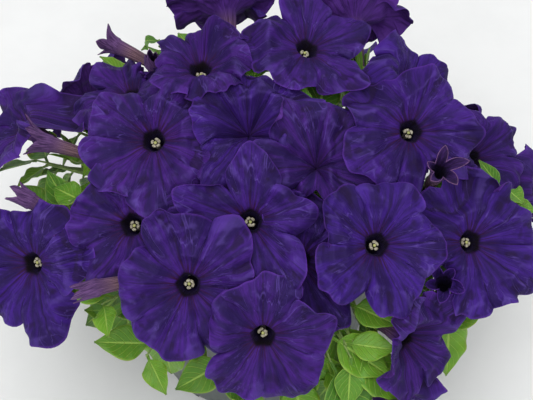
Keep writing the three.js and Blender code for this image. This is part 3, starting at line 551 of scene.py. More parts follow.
def settle(row, seed, above, **shape):
    """A bloom from its row, with the settled heights of its limb on a grid of rings and spokes."""
    name, lon, lat, lift, turn, rise, radius, cup, roll = row
    usual = dict(notch=PETAL.notch, droop=PETAL.droop, wave=1.0, roll_start=0.6, pinched=name in PINCHED)
    bloom = SimpleNamespace(name=name, seed=seed, radius=radius, cup=cup, roll=roll, passages=[],
                            **{**usual, **shape})
    bloom.notches = NOTCHES.get(name) or [0.4 + 1.6 * chance(seed, 200 + k) for k in range(5)]
    bloom.outline = OUTLINES.get(name, [])
    bloom.curls = CURLS.get(name, [])
    bloom.axes = Axes(on_dome(lon, lat, lift), heading(turn, rise), roll)
    bloom.above = [
        other
        for other in above
        if np.linalg.norm(other.axes.origin - bloom.axes.origin) < other.radius + radius + LAYERS.reach
    ]
    s = np.linspace(0, 1, GRID.rings + 1)[:, None]
    angle = np.arange(GRID.spokes)[None, :] * TURN / GRID.spokes
    away, height, sink = plain_limb(bloom, s + 0 * angle, angle + 0 * s)
    bloom.heights = height - sink
    bloom.grid = bloom.axes.point(away * np.cos(angle), away * np.sin(angle), bloom.heights)
    return bloom


def find_passages(bloom, beads, radii):
    """Finds where a bloom's petals part round beads, which are spheres along other tubes and stalks. On each
    spoke the petal ends one ring before the first point that a bead comes close to."""
    close = np.linalg.norm(beads - bloom.axes.origin, axis=1) < 2 * bloom.radius + radii
    apart = np.linalg.norm(bloom.grid[:, :, None] - beads[close], axis=-1)
    blocked = np.any(apart < radii[close] + PASSAGE.clear, axis=-1)
    for spoke in np.flatnonzero(blocked.any(axis=0)):
        hit = int(np.argmax(blocked[:, spoke]))
        angle = spoke * TURN / GRID.spokes
        full = float(petal_reach(bloom, angle))
        reach = TUBE.mouth + (full - TUBE.mouth) * (hit - 1) / GRID.rings
        bloom.passages.append((angle, max(PASSAGE.least, reach)))


def tube_axes(bloom, t):
    """The centres of a tube's sections and their x, y and z, for t from 0 at the mouth to 1 at the base. The
    centre line is origin - z * length * t + down * bend * t^2, with down square to z."""
    t = np.atleast_1d(t).astype(float)[:, None]
    z, origin = bloom.axes.z, bloom.axes.origin
    down = z * z[2] - UP
    centre = origin - z * TUBE.length * t + down * TUBE.bend * t * t
    along = unit(z * TUBE.length - down * 2 * TUBE.bend * t)
    x = unit(bloom.axes.x - (along @ bloom.axes.x)[:, None] * along)
    return centre, x, np.cross(along, x), along


def tube_radius(t):
    """The tube's radius: from the mouth to the waist by t^0.7, then straight to the base."""
    upper = lerp(TUBE.mouth, TUBE.waist, (np.clip(t, 0, TUBE.waist_at) / TUBE.waist_at) ** 0.7)
    lower = lerp(TUBE.waist, TUBE.base, (t - TUBE.waist_at) / (1 - TUBE.waist_at))
    return np.where(t < TUBE.waist_at, upper, lower)


def rings_round(centre, x, y, reach, angle):
    """Rings round centres in the planes of their x and y, at a reach for each section and angle."""
    ring = x[:, None] * (reach * np.cos(angle))[..., None] + y[:, None] * (reach * np.sin(angle))[..., None]
    return centre[:, None] + ring


def tube_rings(bloom, t, angle, inset):
    """Rings round a tube, with five soft flutes, moved in by inset."""
    centre, x, y, _ = tube_axes(bloom, t)
    t = np.atleast_1d(t)[:, None]
    flutes = 1 + TUBE.flute * np.sin(math.pi * np.clip(t, 0, 1)) * np.cos(5 * angle)
    reach = tube_radius(t) * flutes - inset
    if bloom.pinched:
        reach = reach * lerp(PINCH.neck, 1, smoothstep(t, PINCH.start, PINCH.end))
    return rings_round(centre, x, y, reach, angle)


def skin(rings, place=(0.0, 0.0, 0.0), tone=0.0, finish=0, relief=0.0):
    """A closed skin over rings of equal counts of points, with a pole in the middle of the first and last
    ring. Its faces are turned outwards by the sign of its volume. relief is how far each point stands above
    its surroundings."""
    count, around = rings.shape[:2]
    index = np.arange(count * around).reshape(count, around)
    ahead = np.roll(index, -1, axis=1)
    quads = np.stack([index[:-1], ahead[:-1], ahead[1:], index[1:]], axis=-1).reshape(-1, 4)
    first, last = count * around, count * around + 1
    caps = np.concatenate([
        np.stack([np.full(around, first), ahead[0], index[0]], axis=-1),
        np.stack([np.full(around, last), index[-1], ahead[-1]], axis=-1),
    ])
    points = np.concatenate([rings.reshape(-1, 3), rings[[0, -1]].mean(axis=1)])
    place = np.broadcast_to(place, (*rings.shape[:2], 3))
    places = np.concatenate([place.reshape(-1, 3), place[[0, -1]].mean(axis=1)])
    reliefs = np.concatenate([np.broadcast_to(relief, rings.shape[:2]).ravel(), [0.0, 0.0]])
    a, b, c, d = (points[quads[:, k]] for k in range(4))
    p, q, r = (points[caps[:, k]] for k in range(3))
    volume = np.sum(np.cross(a, b) * c) + np.sum(np.cross(a, c) * d) + np.sum(np.cross(p, q) * r)
    if volume < 0:
        quads, caps = quads[:, ::-1], caps[:, ::-1]
    return SimpleNamespace(points=points, quads=quads, caps=caps, place=places, tone=tone, finish=finish,
                           relief=reliefs)


def made_piece(name, skins, materials, slot, *nodes):
    """One Blender object from skins, in metres, with each point's place and tone as attributes. It rides on
    the root and stands for the given nodes."""
    starts = np.cumsum([0] + [len(one.points) for one in skins])
    quads = np.concatenate([one.quads + start for one, start in zip(skins, starts)])
    caps = np.concatenate([one.caps + start for one, start in zip(skins, starts)])
    finishes = np.concatenate([np.full(len(one.quads), one.finish) for one in skins]
                              + [np.full(len(one.caps), one.finish) for one in skins])
    mesh = bpy.data.meshes.new(name)
    points = np.concatenate([one.points for one in skins]) * MM
    mesh.vertices.add(len(points))
    mesh.vertices.foreach_set("co", points.ravel())
    corners = np.concatenate([quads.ravel(), caps.ravel()])
    mesh.loops.add(len(corners))
    mesh.loops.foreach_set("vertex_index", corners)
    sizes = np.concatenate([np.full(len(quads), 4), np.full(len(caps), 3)])
    mesh.polygons.add(len(sizes))
    mesh.polygons.foreach_set("loop_start", np.cumsum(sizes) - sizes)
    mesh.polygons.foreach_set("material_index", finishes)
    mesh.polygons.foreach_set("use_smooth", np.ones(len(sizes), bool))
    place = np.concatenate([one.place for one in skins])
    mesh.attributes.new("place", "FLOAT_VECTOR", "POINT").data.foreach_set("vector", place.ravel())
    tones = np.concatenate([np.full(len(one.points), one.tone) for one in skins])
    reliefs = np.concatenate([one.relief for one in skins])
    for key, values in (("tone", tones), ("relief", reliefs)):
        mesh.attributes.new(key, "FLOAT", "POINT").data.foreach_set("value", values)
    mesh.update(calc_edges=True)
    for material in materials:
        mesh.materials.append(material)
    piece = bpy.data.objects.new(name, mesh)
    bpy.context.collection.objects.link(piece)
    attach(piece, "root")
    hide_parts(*nodes)
    return piece


def limb_angles():
    """The spokes of a fine limb, a little closer together at each midrib and each junction."""
    share = np.arange(FINE.petal) / FINE.petal
    eased = 0.45 * share + 0.55 * (0.5 - 0.5 * np.cos(math.pi * share))
    return (np.arange(10)[:, None] + eased).ravel() * TURN / 10


def facing(top):
    """The unit normals of points on rings that close on themselves."""
    around = np.roll(top, -1, axis=1) - np.roll(top, 1, axis=1)
    return unit(np.cross(np.gradient(top, axis=0), around))


def polar(reach, angle, height):
    """Points round an axis from their reach, angle and height."""
    return np.stack([reach * np.cos(angle), reach * np.sin(angle), height + 0 * angle], axis=-1)


def funnel(outer, outer_t, under, rim, top, s, inner, inner_t, angle, seed, relief=0.0):
    """The skin of a bloom or bud from its rings: up the outside of the tube, out under the limb, round the
    rim, and back over the petals into the tube. place holds (1 + s) or (1 - t) along the direction round
    the bloom, and 1 on the outside or 0 within."""
    rings = np.concatenate([outer, under, rim, top[::-1], inner])
    v = np.concatenate([1 - outer_t, 1 + s[:, 0], [2.0], 1 + s[::-1, 0], 1 - inner_t])[:, None]
    outside = np.concatenate([np.ones(len(outer_t) + len(s)), [0.5], np.zeros(len(s) + len(inner_t))])
    return skin(rings, polar(v, angle, outside[:, None]), chance(seed, 31), relief=relief)


def corolla(bloom, wall=0.5):
    """A bloom's skin. relief is how far the petals stand above their own average over SMOOTHING rounds."""
    angle = limb_angles()[None, :]
    s = np.linspace(0, 1, FINE.limb)[:, None] ** 0.9
    top = limb(bloom, s + 0 * angle, angle + 0 * s)
    smooth = top
    for _ in range(SMOOTHING):
        padded = np.pad(smooth, ((1, 1), (0, 0), (0, 0)), "edge")
        smooth = 0.25 * (padded[2:] + padded[:-2] + np.roll(smooth, 1, axis=1) + np.roll(smooth, -1, axis=1))
    normal = facing(top)
    # The petal finish paints shade where the petals sink below this average and a highlight where they stand
    # above it.
    stands = np.sum((top - smooth) * normal, axis=-1)
    thickness = lerp(PETAL.thickness, PETAL.rim, smoothstep(s, 0.75, 1.0))
    under = top - thickness[..., None] * normal
    rim = 0.5 * (top[-1:] + under[-1:]) + 0.12 * unit(np.gradient(top, axis=0)[-1:])
    outer_t = np.linspace(1, PINCH.start + 0.02 if bloom.pinched else 0.04, FINE.tube)
    inner_t = np.linspace(PINCH.start if bloom.pinched else 0.06, TUBE.floor_at, FINE.throat)
    outer = tube_rings(bloom, outer_t, angle, 0)
    inner = tube_rings(bloom, inner_t, angle, wall)
    flat = np.zeros((1, top.shape[1]))
    relief = np.concatenate([*[flat] * len(outer_t), -stands, flat, stands[::-1], *[flat] * len(inner_t)])
    return funnel(outer, outer_t, under, rim, top, s, inner, inner_t, angle, bloom.seed, relief)


def trumpet(bud):
    """A bud's skin: a slim tube that opens into five pointed lobes, each folded along its middle and turned a
    little. With u from -1 to 1 across a lobe, its length is least + (1 - least) * (1 - |u|)^0.8, and it
    stands away from the axis by the flare power of the share along it, less fold * |u|^2. A full bud has a
    larger least, so that its lobes are wider."""
    angle = limb_angles()[None, :]
    u = np.abs((angle / (TURN / 5) + 0.5) % 1 - 0.5) * 2
    uneven = 1 + sine_sum(bud.seed, angle, LOBES)
    s = np.linspace(0, 1, FINE.lobe)[:, None]
    least = FULL.get(bud.name, LOBE.least)
    share = s * (least + (1 - least) * (1 - u) ** 0.8) * uneven
    spread = LOBE.spread * bud.radius * OPEN.get(bud.name, 1.0)
    flared = LOBE.mouth + (spread - LOBE.mouth) * share**LOBE.flare
    away = flared * (1 - LOBE.fold * u * u * smoothstep(share, 0, 0.6))
    turned = angle + LOBE.twist * share * math.copysign(1, math.sin(phase(bud.seed, 5)))
    height = bud.cup * LOBE.length * SHORT.get(bud.name, 1.0) * share
    height = height + 0.5 * s * np.sin(3 * angle + phase(bud.seed, 3))
    top = bud.axes.point(away * np.cos(turned), away * np.sin(turned), height)
    under = top - LOBE.thickness * facing(top)
    rim = 0.5 * (top[-1:] + under[-1:])
    outer_t, inner_t = np.linspace(1, 0.03, FINE.bud_tube), np.linspace(0.05, 0.5, FINE.bud_throat)
    slim = LOBE.mouth / TUBE.mouth

    def tube(t, inset):
        """Rings of a tube that is slimmer than an open bloom's."""
        centre, x, y, _ = tube_axes(bud, t)
        t = t[:, None]
        reach = lerp(slim, LOBE.waist / TUBE.waist, np.clip(t / TUBE.waist_at, 0, 1)) * tube_radius(t)
        flutes = 1 + LOBE.flute * np.cos(5 * angle) * np.sin(math.pi * np.clip(t * 1.1, 0, 1))
        return rings_round(centre, x, y, reach * flutes - inset, angle)

    inner = tube(inner_t, LOBE.thickness)
    return funnel(tube(outer_t, 0), outer_t, under, rim, top, s, inner, inner_t, angle, bud.seed)


def anthers(bloom):
    """Five anthers round a stigma, on filaments that stand on the tube's inner floor."""
    circle = np.arange(10) * TURN / 10
    centre, x, y, z = tube_axes(bloom, [TUBE.floor_at * 0.96, ANTHER.depth / TUBE.length])
    skins = []

    def pod(middle, along, across, half_length, half_width, finish):
        """An ellipsoid from rings along one of its axes."""
        third = np.cross(along, across)
        share = np.linspace(-0.94, 0.94, 7)[:, None]
        girth = half_width * np.sqrt(1 - share**2)
        ring = (girth * np.cos(circle))[..., None] * across + (girth * np.sin(circle))[..., None] * third
        return skin(middle + share[..., None] * half_length * along + ring, finish=finish)

    def thread(foot, head, first_x, radius):
        """A straight filament or style."""
        return skin(strand(np.linspace(foot, head, 5), first_x, radius, 6), finish=2)

    for k in range(5):
        a = TURN * (k + chance(bloom.seed, 40 + k) * 0.5) / 5
        out = math.cos(a) * x[1] + math.sin(a) * y[1]
        side = np.cross(z[1], out)
        lean = unit(side + 0.5 * (chance(bloom.seed, 50 + k) - 0.5) * z[1])
        reach = ANTHER.reach + ANTHER.stray * chance(bloom.seed, 60 + k)
        head = centre[1] + reach * out + (chance(bloom.seed, 70 + k) - 0.4) * ANTHER.uneven * z[1]
        skins.append(pod(head, lean, out, ANTHER.length, ANTHER.width, 0))
        skins.append(thread(centre[0] + 0.5 * out, head, out, ANTHER.filament))
    skins.append(pod(centre[1] + STIGMA.rise * z[1], z[1], x[1], STIGMA.length, STIGMA.width, 1))
    skins.append(thread(centre[0], centre[1], x[1], STIGMA.style))
    return skins


def strand(path, first_x, radius, count):
    """Rings of a radius round the points of a path. The first keeps the direction first_x and the rest turn
    as little as they can."""
    along = unit(np.gradient(path, axis=0))
    radius = np.broadcast_to(radius, len(path))
    angle = np.arange(count) * TURN / count
    x = first_x
    rings = []
    for centre, z, r in zip(path, along, radius):
        x = unit(x - (x @ z) * z)
        y = np.cross(z, x)
        rings.append(centre + r * (np.cos(angle)[:, None] * x + np.sin(angle)[:, None] * y))
    return np.array(rings)


def bezier(points, t):
    """Points of the cubic curve sum of (1-t)^3 a + 3(1-t)^2 t b + 3(1-t) t^2 c + t^3 d."""
    a, b, c, d = points
    t = t[:, None]
    return (1 - t) ** 3 * a + 3 * (1 - t) ** 2 * t * b + 3 * (1 - t) * t * t * c + t**3 * d


def spline(knots, t):
    """Points of the centripetal Catmull-Rom curve through knots: cubic Hermite pieces whose tangents weigh
    each chord by the root of its length, with the end knots mirrored."""
    knots = np.array([2 * knots[0] - knots[1], *knots, 2 * knots[-1] - knots[-2]])
    gaps = np.maximum(np.linalg.norm(np.diff(knots, axis=0), axis=1) ** 0.5, 1e-4)
    pieces = len(knots) - 3
    share = np.asarray(t) * pieces
    i = np.minimum(share.astype(int), pieces - 1)
    w = (share - i)[:, None]
    a, b, c, d = (knots[i + k] for k in range(4))
    g0, g1, g2 = (gaps[i + k][:, None] for k in range(3))
    start = ((b - a) / g0 - (c - a) / (g0 + g1) + (c - b) / g1) * g1
    end = ((c - b) / g1 - (d - b) / (g1 + g2) + (d - c) / g2) * g1
    return (
        b * (2 * w**3 - 3 * w**2 + 1)
        + start * (w**3 - 2 * w**2 + w)
        + c * (3 * w**2 - 2 * w**3)
        + end * (w**3 - w**2)
    )


def along_length(points, share):
    """The point a share of the way along a line of points, by its length."""
    steps = np.linalg.norm(np.diff(points, axis=0), axis=1)
    length = np.concatenate([[0], np.cumsum(steps)])
    return np.array([np.interp(share * length[-1], length, points[:, k]) for k in range(3)])


def path_length(points):
    """The length of a line of points."""
    return np.linalg.norm(np.diff(points, axis=0), axis=1).sum()


def stem_line(k):
    """The line of stem k, from its root in the soil up and outwards."""
    ground = SOIL.edge + SOIL.dome
    stops = [
        (STEM.ring, ground - STEM.root),
        (STEM.ring, ground + 4),
        (STEM.ring + 0.3 * STEM.spread, STEM.elbow),
        (STEM.ring + STEM.spread, STEM.top),
    ]
    knots = [heading(60 * k, 0) * reach + UP * z for reach, z in stops]
    return spline(knots, np.linspace(0, 1, FINE.stem))


def nearest_stem(point):
    """The stem in whose sixth of the plant a point lies."""
    return round((math.degrees(math.atan2(point[0], -point[1])) + 360) / 60) % 6


def stalk_line(tip, away, seat):
    """The line of a stalk that leaves a tip backwards and runs to its seat on a stem. From a tip beside the
    pot it first climbs over the rim."""
    reach = np.linalg.norm(seat - tip)
    share = np.linspace(0, 1, FINE.stalk)
    in_rim = math.hypot(tip[0], tip[1]) < POT.top - BRANCH.inside
    if in_rim or tip[2] > POT.height + 2 * BRANCH.over_rim:
        return bezier([tip, tip + away * 0.4 * reach, seat + UP * 0.05 * reach, seat], share)
    out = unit(tip * [1, 1, 0])
    beside = out * (POT.top + BRANCH.beside) + UP * lerp(tip[2], POT.height, 0.6)
    rim = out * (POT.top - BRANCH.inside) + UP * (POT.height + BRANCH.over_rim)
    return spline([tip, *([beside] if tip[2] < POT.height else []), rim, seat], share)


def leaf_half_width(t, length):
    """Half a leaf's width at t: a slim neck, then breadth * sin(pi * (1.2 t - 0.2)^0.75)."""
    swell = np.sin(math.pi * np.clip(1.2 * t - 0.2, 0, 1) ** 0.75)
    neck = lerp(LEAF.neck, LEAF.point, smoothstep(t, 0.93, 1.0))
    return np.maximum(neck, LEAF.breadth * length * swell)


def two_faced(top, under, share, t, tone, back=1.0):
    """The skin of a leaf or sepal from the grids of its two faces. place holds the share across from -1 to
    1, the share along, and 0 on the upper face or the value of back on the other."""
    rings = np.concatenate([top, under[:, ::-1]], axis=1)
    level = 0 * t
    across = np.concatenate([share + level, share[:, ::-1] + level], axis=1)
    side = np.concatenate([0 * share + level, back + 0 * share + level], axis=1)
    return skin(rings, np.stack([across, t + 0 * across, side], axis=-1), tone)


def leaf(axes, length, seed):
    """A leaf blade that grows along z with its upper face to x: folded along the midrib, drooping as t^2,
    with a wavy margin, side veins pressed in, and bent below the blooms above it."""
    t = np.linspace(0, 1, FINE.leaf)[:, None]
    share = np.linspace(1, -1, FINE.across)[None, :]
    half = leaf_half_width(t, length)
    veins = np.cos(TURN * (VEINS.count * t - VEINS.slant * np.abs(share)))
    margin = np.abs(share) ** 2 * sine_sum(seed, TURN * t, MARGIN)
    fold = LEAF.fold * half * (np.sqrt(share**2 + 0.01) - 0.1) * (1.35 - 0.35 * share**2)
    relief = VEINS.depth * length * veins * np.sin(math.pi * np.abs(share)) * smoothstep(t, 0.2, 0.4)
    bow = LEAF.fold * half
    x = -LEAF.droop * length * t * t + fold - bow + relief * 0.5 + np.sign(share) * margin * half / 10
    y = share * half
    z = length * t - LEAF.seat + 0 * share
    outward = unit(axes.origin - DOME.centre)
    top = axes.point(x, y, z)
    sink = sink_below(top, outward, blooms).max(axis=1, keepdims=True)
    sink = np.minimum(smoothstep(t, 0, LAYERS.held) * sink, LEAF.give * length * t)
    top = top - (sink + 0 * share)[..., None] * outward
    normal = unit(np.cross(np.gradient(top, axis=0), np.gradient(top, axis=1)))
    normal *= np.sign(np.sum(normal * axes.x, axis=-1, keepdims=True))
    thickness = LEAF.thickness * (0.35 + 0.65 * (1 - np.abs(share) ** 4)) * (1 + 0.7 * (np.abs(share) < 0.1))
    under = top - (thickness + 0 * t)[..., None] * normal
    return two_faced(top, under, share, t, chance(seed, 3))


def shoot_leaves(size, count, axes, path, seed):
    """The leaves of a shoot, in a spiral along its rod, larger and more open lower down."""
    skins = []
    for i in range(count):
        around = math.radians(SPIRAL.turn * i)
        side = axes.x * math.cos(around) + axes.y * math.sin(around)
        opened = math.radians(SPIRAL.open + SPIRAL.opening * i)
        grows = axes.z * math.cos(opened) + side * math.sin(opened)
        place = min(0.9, SPIRAL.spacing * (i + 0.15) / path_length(path))
        blade = Axes(along_length(path, place), grows)
        blade.set_x(axes.z + SPIRAL.light * UP)
        skins.append(leaf(blade, size * min(1, SPIRAL.youngest + SPIRAL.growth * i), seed + 0.37 * i))
    return skins


def clear_of_pot(points):
    """Whether points stay outside the pot and above its soil."""
    x, y, z = points.T
    within = np.hypot(x, y) < POT.top + FILL.clear
    return not np.any(within & (z < POT.height + FILL.clear))


def room(points, spheres, radii):
    """The least distance from points to spheres, below 0 inside one."""
    square = np.sum(points**2, axis=1)[:, None] + np.sum(spheres**2, axis=1) - 2 * points @ spheres.T
    return np.min(np.sqrt(np.maximum(square, 0)) - radii)


def calyx(axes, seed):
    """The green cup under a flower and its five narrow sepals, which widen near their ends and curve out."""
    skins = []
    share = np.linspace(0, 1, FINE.cup)
    girth = CALYX.radius * np.sin(math.pi * (0.12 + 0.42 * share)) ** 0.8
    height = lerp(-CALYX.depth, CALYX.cup, share)
    angle = np.arange(FINE.cup_round) * TURN / FINE.cup_round
    cup = axes.point(girth[:, None] * np.cos(angle), girth[:, None] * np.sin(angle), height[:, None])
    skins.append(skin(cup, tone=0.5, finish=1))
    t = np.linspace(0, 1, FINE.sepal)[:, None]
    across = np.linspace(1, -1, 5)[None, :]
    pointed = (1 - smoothstep(t, 0.82, 1.0)) ** 0.5
    half = CALYX.width * (0.55 + 0.45 * np.sin(math.pi * t**1.5)) * pointed + 0.1
    for k in range(5):
        a = TURN * (k + 0.5) / 5 + 0.25 * (chance(seed, 80 + k) - 0.5)
        out = math.cos(a) * axes.x + math.sin(a) * axes.y
        side = -math.sin(a) * axes.x + math.cos(a) * axes.y
        spread = CALYX.foot + CALYX.flare * t**1.8 + CALYX.stray * chance(seed, 90 + k) * t**3
        bowl = 0.35 * half * (1 - across**2)
        middle = axes.origin + axes.z * (CALYX.sepal * t)[..., None] + out * (spread - bowl)[..., None]
        top = middle + side * (half * across)[..., None]
        under = top + out * (CALYX.thickness * (1 - 0.6 * across**2) + 0 * t)[..., None]
        skins.append(two_faced(top, under, across, t, 0.35 + 0.4 * chance(seed, k), back=0.0))
    return skins


def pot_skin():
    """The pot's wall: a turned profile with fine upright ribs below its band."""
    neck = POT.height - POT.band
    neck_radius = POT.top - POT.step
    outside = [(0.5, 0), (POT.foot - 3, 0), (POT.foot - 1, 0.3), (POT.foot, 1.6)]
    outside += [(lerp(POT.foot, neck_radius, k), lerp(0, neck, k))
                for k in np.linspace(0.03, 0.985, RIBS.steps)]
    band = [(neck_radius, neck), (POT.top - 0.4, neck + 0.4), (POT.top, neck + 1)]
    band += [(POT.top - 0.25 * math.sin(math.pi * k), lerp(neck + 1, POT.height - 0.8, k))
             for k in np.linspace(0.1, 1, 8)]
    lip = [(POT.top - 0.3, POT.height - 0.2), (POT.top - 1.0, POT.height), (POT.top - 2.2, POT.height)]
    inside = [(POT.top - 2.7, POT.height - 0.5), (neck_radius - POT.wall, neck - 1)]
    inside += [(POT.foot - POT.wall, POT.floor), (0.5, POT.floor)]
    rows = [*outside, *band, *lip, *inside]
    profile = np.array(rows, float)
    angle = np.arange(FINE.pot_round) * TURN / FINE.pot_round
    ribbed = np.zeros(len(rows))
    ribbed[len(outside) - RIBS.steps + 2:len(outside) - 1] = 1
    ribs = RIBS.depth * ribbed[:, None] * np.abs(np.sin(RIBS.count * angle)) ** 0.6
    return skin(polar(profile[:, :1] + ribs, angle, profile[:, 1:]))


def cut_drains(piece):
    """Cuts the drain slots through the corner of the foot, one box for each."""
    cutter = bpy.data.meshes.new("slots")
    ends = (-0.5, 0.5)
    corners = np.array([[x, y, z] for x in ends for y in ends for z in ends])
    faces = np.array([[0, 1, 3, 2], [4, 6, 7, 5], [0, 4, 5, 1], [2, 3, 7, 6], [0, 2, 6, 4], [1, 5, 7, 3]])
    box = corners * [DRAIN.width, DRAIN.depth, DRAIN.height + 2] + [0, -POT.foot, 0.5 * DRAIN.height - 1]
    points, quads = [], []
    for k in range(DRAIN.count):
        a = TURN * (k + 0.5) / DRAIN.count
        turned = box @ np.array([[math.cos(a), math.sin(a), 0], [-math.sin(a), math.cos(a), 0], [0, 0, 1]])
        points.append(turned * MM)
        quads.append(faces + 8 * k)
    cutter.from_pydata(np.concatenate(points).tolist(), [], np.concatenate(quads).tolist())
    slots = bpy.data.objects.new("slots", cutter)
    bpy.context.collection.objects.link(slots)
    cut = piece.modifiers.new("drains", "BOOLEAN")
    cut.operation = "DIFFERENCE"
    cut.object = slots
    cut.solver = "EXACT"
    depsgraph = bpy.context.evaluated_depsgraph_get()
    result = bpy.data.meshes.new_from_object(piece.evaluated_get(depsgraph))
    piece.modifiers.clear()
    piece.data = result
    bpy.data.objects.remove(slots)
    bpy.data.meshes.remove(cutter)


def soil_skins():
    """The potting soil: a domed disc of rings whose height is roughened by sines, and loose crumbs on it."""
    slope = (POT.top - POT.step - POT.foot) / (POT.height - POT.band)
    inset = POT.wall + SOIL.clear + SOIL.margin
    wall = POT.foot + slope * SOIL.edge - inset
    base = POT.foot - inset
    angle = np.arange(FINE.soil_round) * TURN / FINE.soil_round
    share = np.linspace(0.02, 1, FINE.soil)[:, None]
    reach = wall * share
    rough = SOIL.rough * np.sin(reach * 0.9 * np.cos(angle)) * np.sin(reach * 0.8 * np.sin(angle) + 1)
    finer = np.sin(reach * 1.7 * np.sin(angle + 0.7) + 2) * np.sin(reach * 1.9 * np.cos(angle + 0.4))
    rough = rough + SOIL.finer * finer
    top_z = SOIL.edge + SOIL.dome * (1 - share**2) + rough
    side = np.array([(wall, SOIL.edge - 2), (base, POT.floor + SOIL.seat), (2, POT.floor + SOIL.seat)])
    sides = polar(side[:, :1], angle, side[:, 1:])
    skins = [skin(np.concatenate([polar(reach, angle, top_z), sides]))]
    draw = np.random.default_rng(SEEDS.soil)
    circle = np.arange(6) * TURN / 6
    for _ in range(CRUMBS.count):
        away, turn = wall * CRUMBS.spread * math.sqrt(draw.random()), TURN * draw.random()
        size = CRUMBS.least + CRUMBS.more * draw.random() ** 2
        z = SOIL.edge + SOIL.dome * (1 - (away / wall) ** 2) + 0.3 * size
        share = np.array([-0.8, 0.0, 0.8])[:, None]
        girth = size * np.sqrt(1 - share**2) * (0.75 + 0.5 * draw.random((3, 6)))
        tilt = Axes([away * math.cos(turn), away * math.sin(turn), z], draw.normal(size=3))
        skins.append(skin(tilt.point(girth * np.cos(circle), girth * np.sin(circle), 0.8 * size * share)))
    return skins


def srgb(red, green, blue):
    """A colour given as 0 to 255 screen values, in the shader's linear values."""
    share = np.array([red, green, blue]) / 255
    linear = np.where(share > 0.04045, ((share + 0.055) / 1.055) ** 2.4, share / 12.92)
    return (*linear.tolist(), 1.0)


class Finish:
    """A procedural material. Each call adds a node and gives its output socket."""

    def __init__(self, name, **shader):
        """A new material whose shader has the given constant values."""
        self.material = bpy.data.materials.new(name)
        self.material.use_nodes = True
        self.tree = self.material.node_tree
        self.shader = self.tree.nodes["Principled BSDF"]
        for key, value in shader.items():
            self.shader.inputs[key.replace("_", " ").title().replace("Ior", "IOR")].default_value = value

    def node(self, kind, output=0, settings=None, **inputs):
        """A node of a kind. Its inputs are given by name, or by number as i0, i1 and so on."""
        made = self.tree.nodes.new(kind)
        for key, value in (settings or {}).items():
            setattr(made, key, value)
        for key, value in inputs.items():
            socket = made.inputs[int(key[1:])] if key[1:].isdigit() else made.inputs[key.replace("_", " ")]
            if isinstance(value, bpy.types.NodeSocket):
                self.tree.links.new(value, socket)
            else:
                socket.default_value = value
        return made.outputs[output]

    def attribute(self, name, output):
        """An output of the piece's own attribute."""
        return self.node("ShaderNodeAttribute", output, {"attribute_name": name})

    def math(self, operation, a, b=0.0):
        """A math node on one or two values."""
        return self.node("ShaderNodeMath", settings={"operation": operation}, i0=a, i1=b)

    def times(self, a, b):
        """a * b."""
        return self.math("MULTIPLY", a, b)

    def plus(self, a, b):
        """a + b."""
        return self.math("ADD", a, b)

    def minus(self, a, b):
        """a - b."""
        return self.math("SUBTRACT", a, b)

    def size(self, a):
        """a without its sign."""
        return self.math("ABSOLUTE", a)

    def vector(self, operation, a, output=0, **more):
        """A vector math node."""
        return self.node("ShaderNodeVectorMath", output, {"operation": operation}, i0=a, **more)

    def step(self, value, low, high, start=0.0, end=1.0):
        """A smooth step from start at low to end at high."""
        settings = {"interpolation_type": "SMOOTHSTEP"}
        return self.node("ShaderNodeMapRange", settings=settings, Value=value, From_Min=low, From_Max=high,
                         To_Min=start, To_Max=end)

    def mix(self, share, a, b):
        """Colour a with a share of colour b."""
        return self.node("ShaderNodeMix", 2, {"data_type": "RGBA"}, i0=share, i6=a, i7=b)

    def noise(self, vector, scale, detail=3.0, roughness=0.5):
        """Fractal noise, about 0.5."""
        return self.node("ShaderNodeTexNoise", Vector=vector, Scale=scale, Detail=detail, Roughness=roughness)

    def object_place(self):
        """The point's place in metres."""
        return self.node("ShaderNodeTexCoord", "Object")

    def separate(self, vector):
        """The x, y and z of a vector."""
        return [self.node("ShaderNodeSeparateXYZ", k, Vector=vector) for k in range(3)]

    def colour(self, socket):
        """Links the surface's colour."""
        self.tree.links.new(socket, self.shader.inputs["Base Color"])

    def bump(self, height, distance, strength=1.0):
        """Links a bump of height, in metres at 1."""
        normal = self.node("ShaderNodeBump", Height=height, Distance=distance, Strength=strength)
        self.tree.links.new(normal, self.shader.inputs["Normal"])


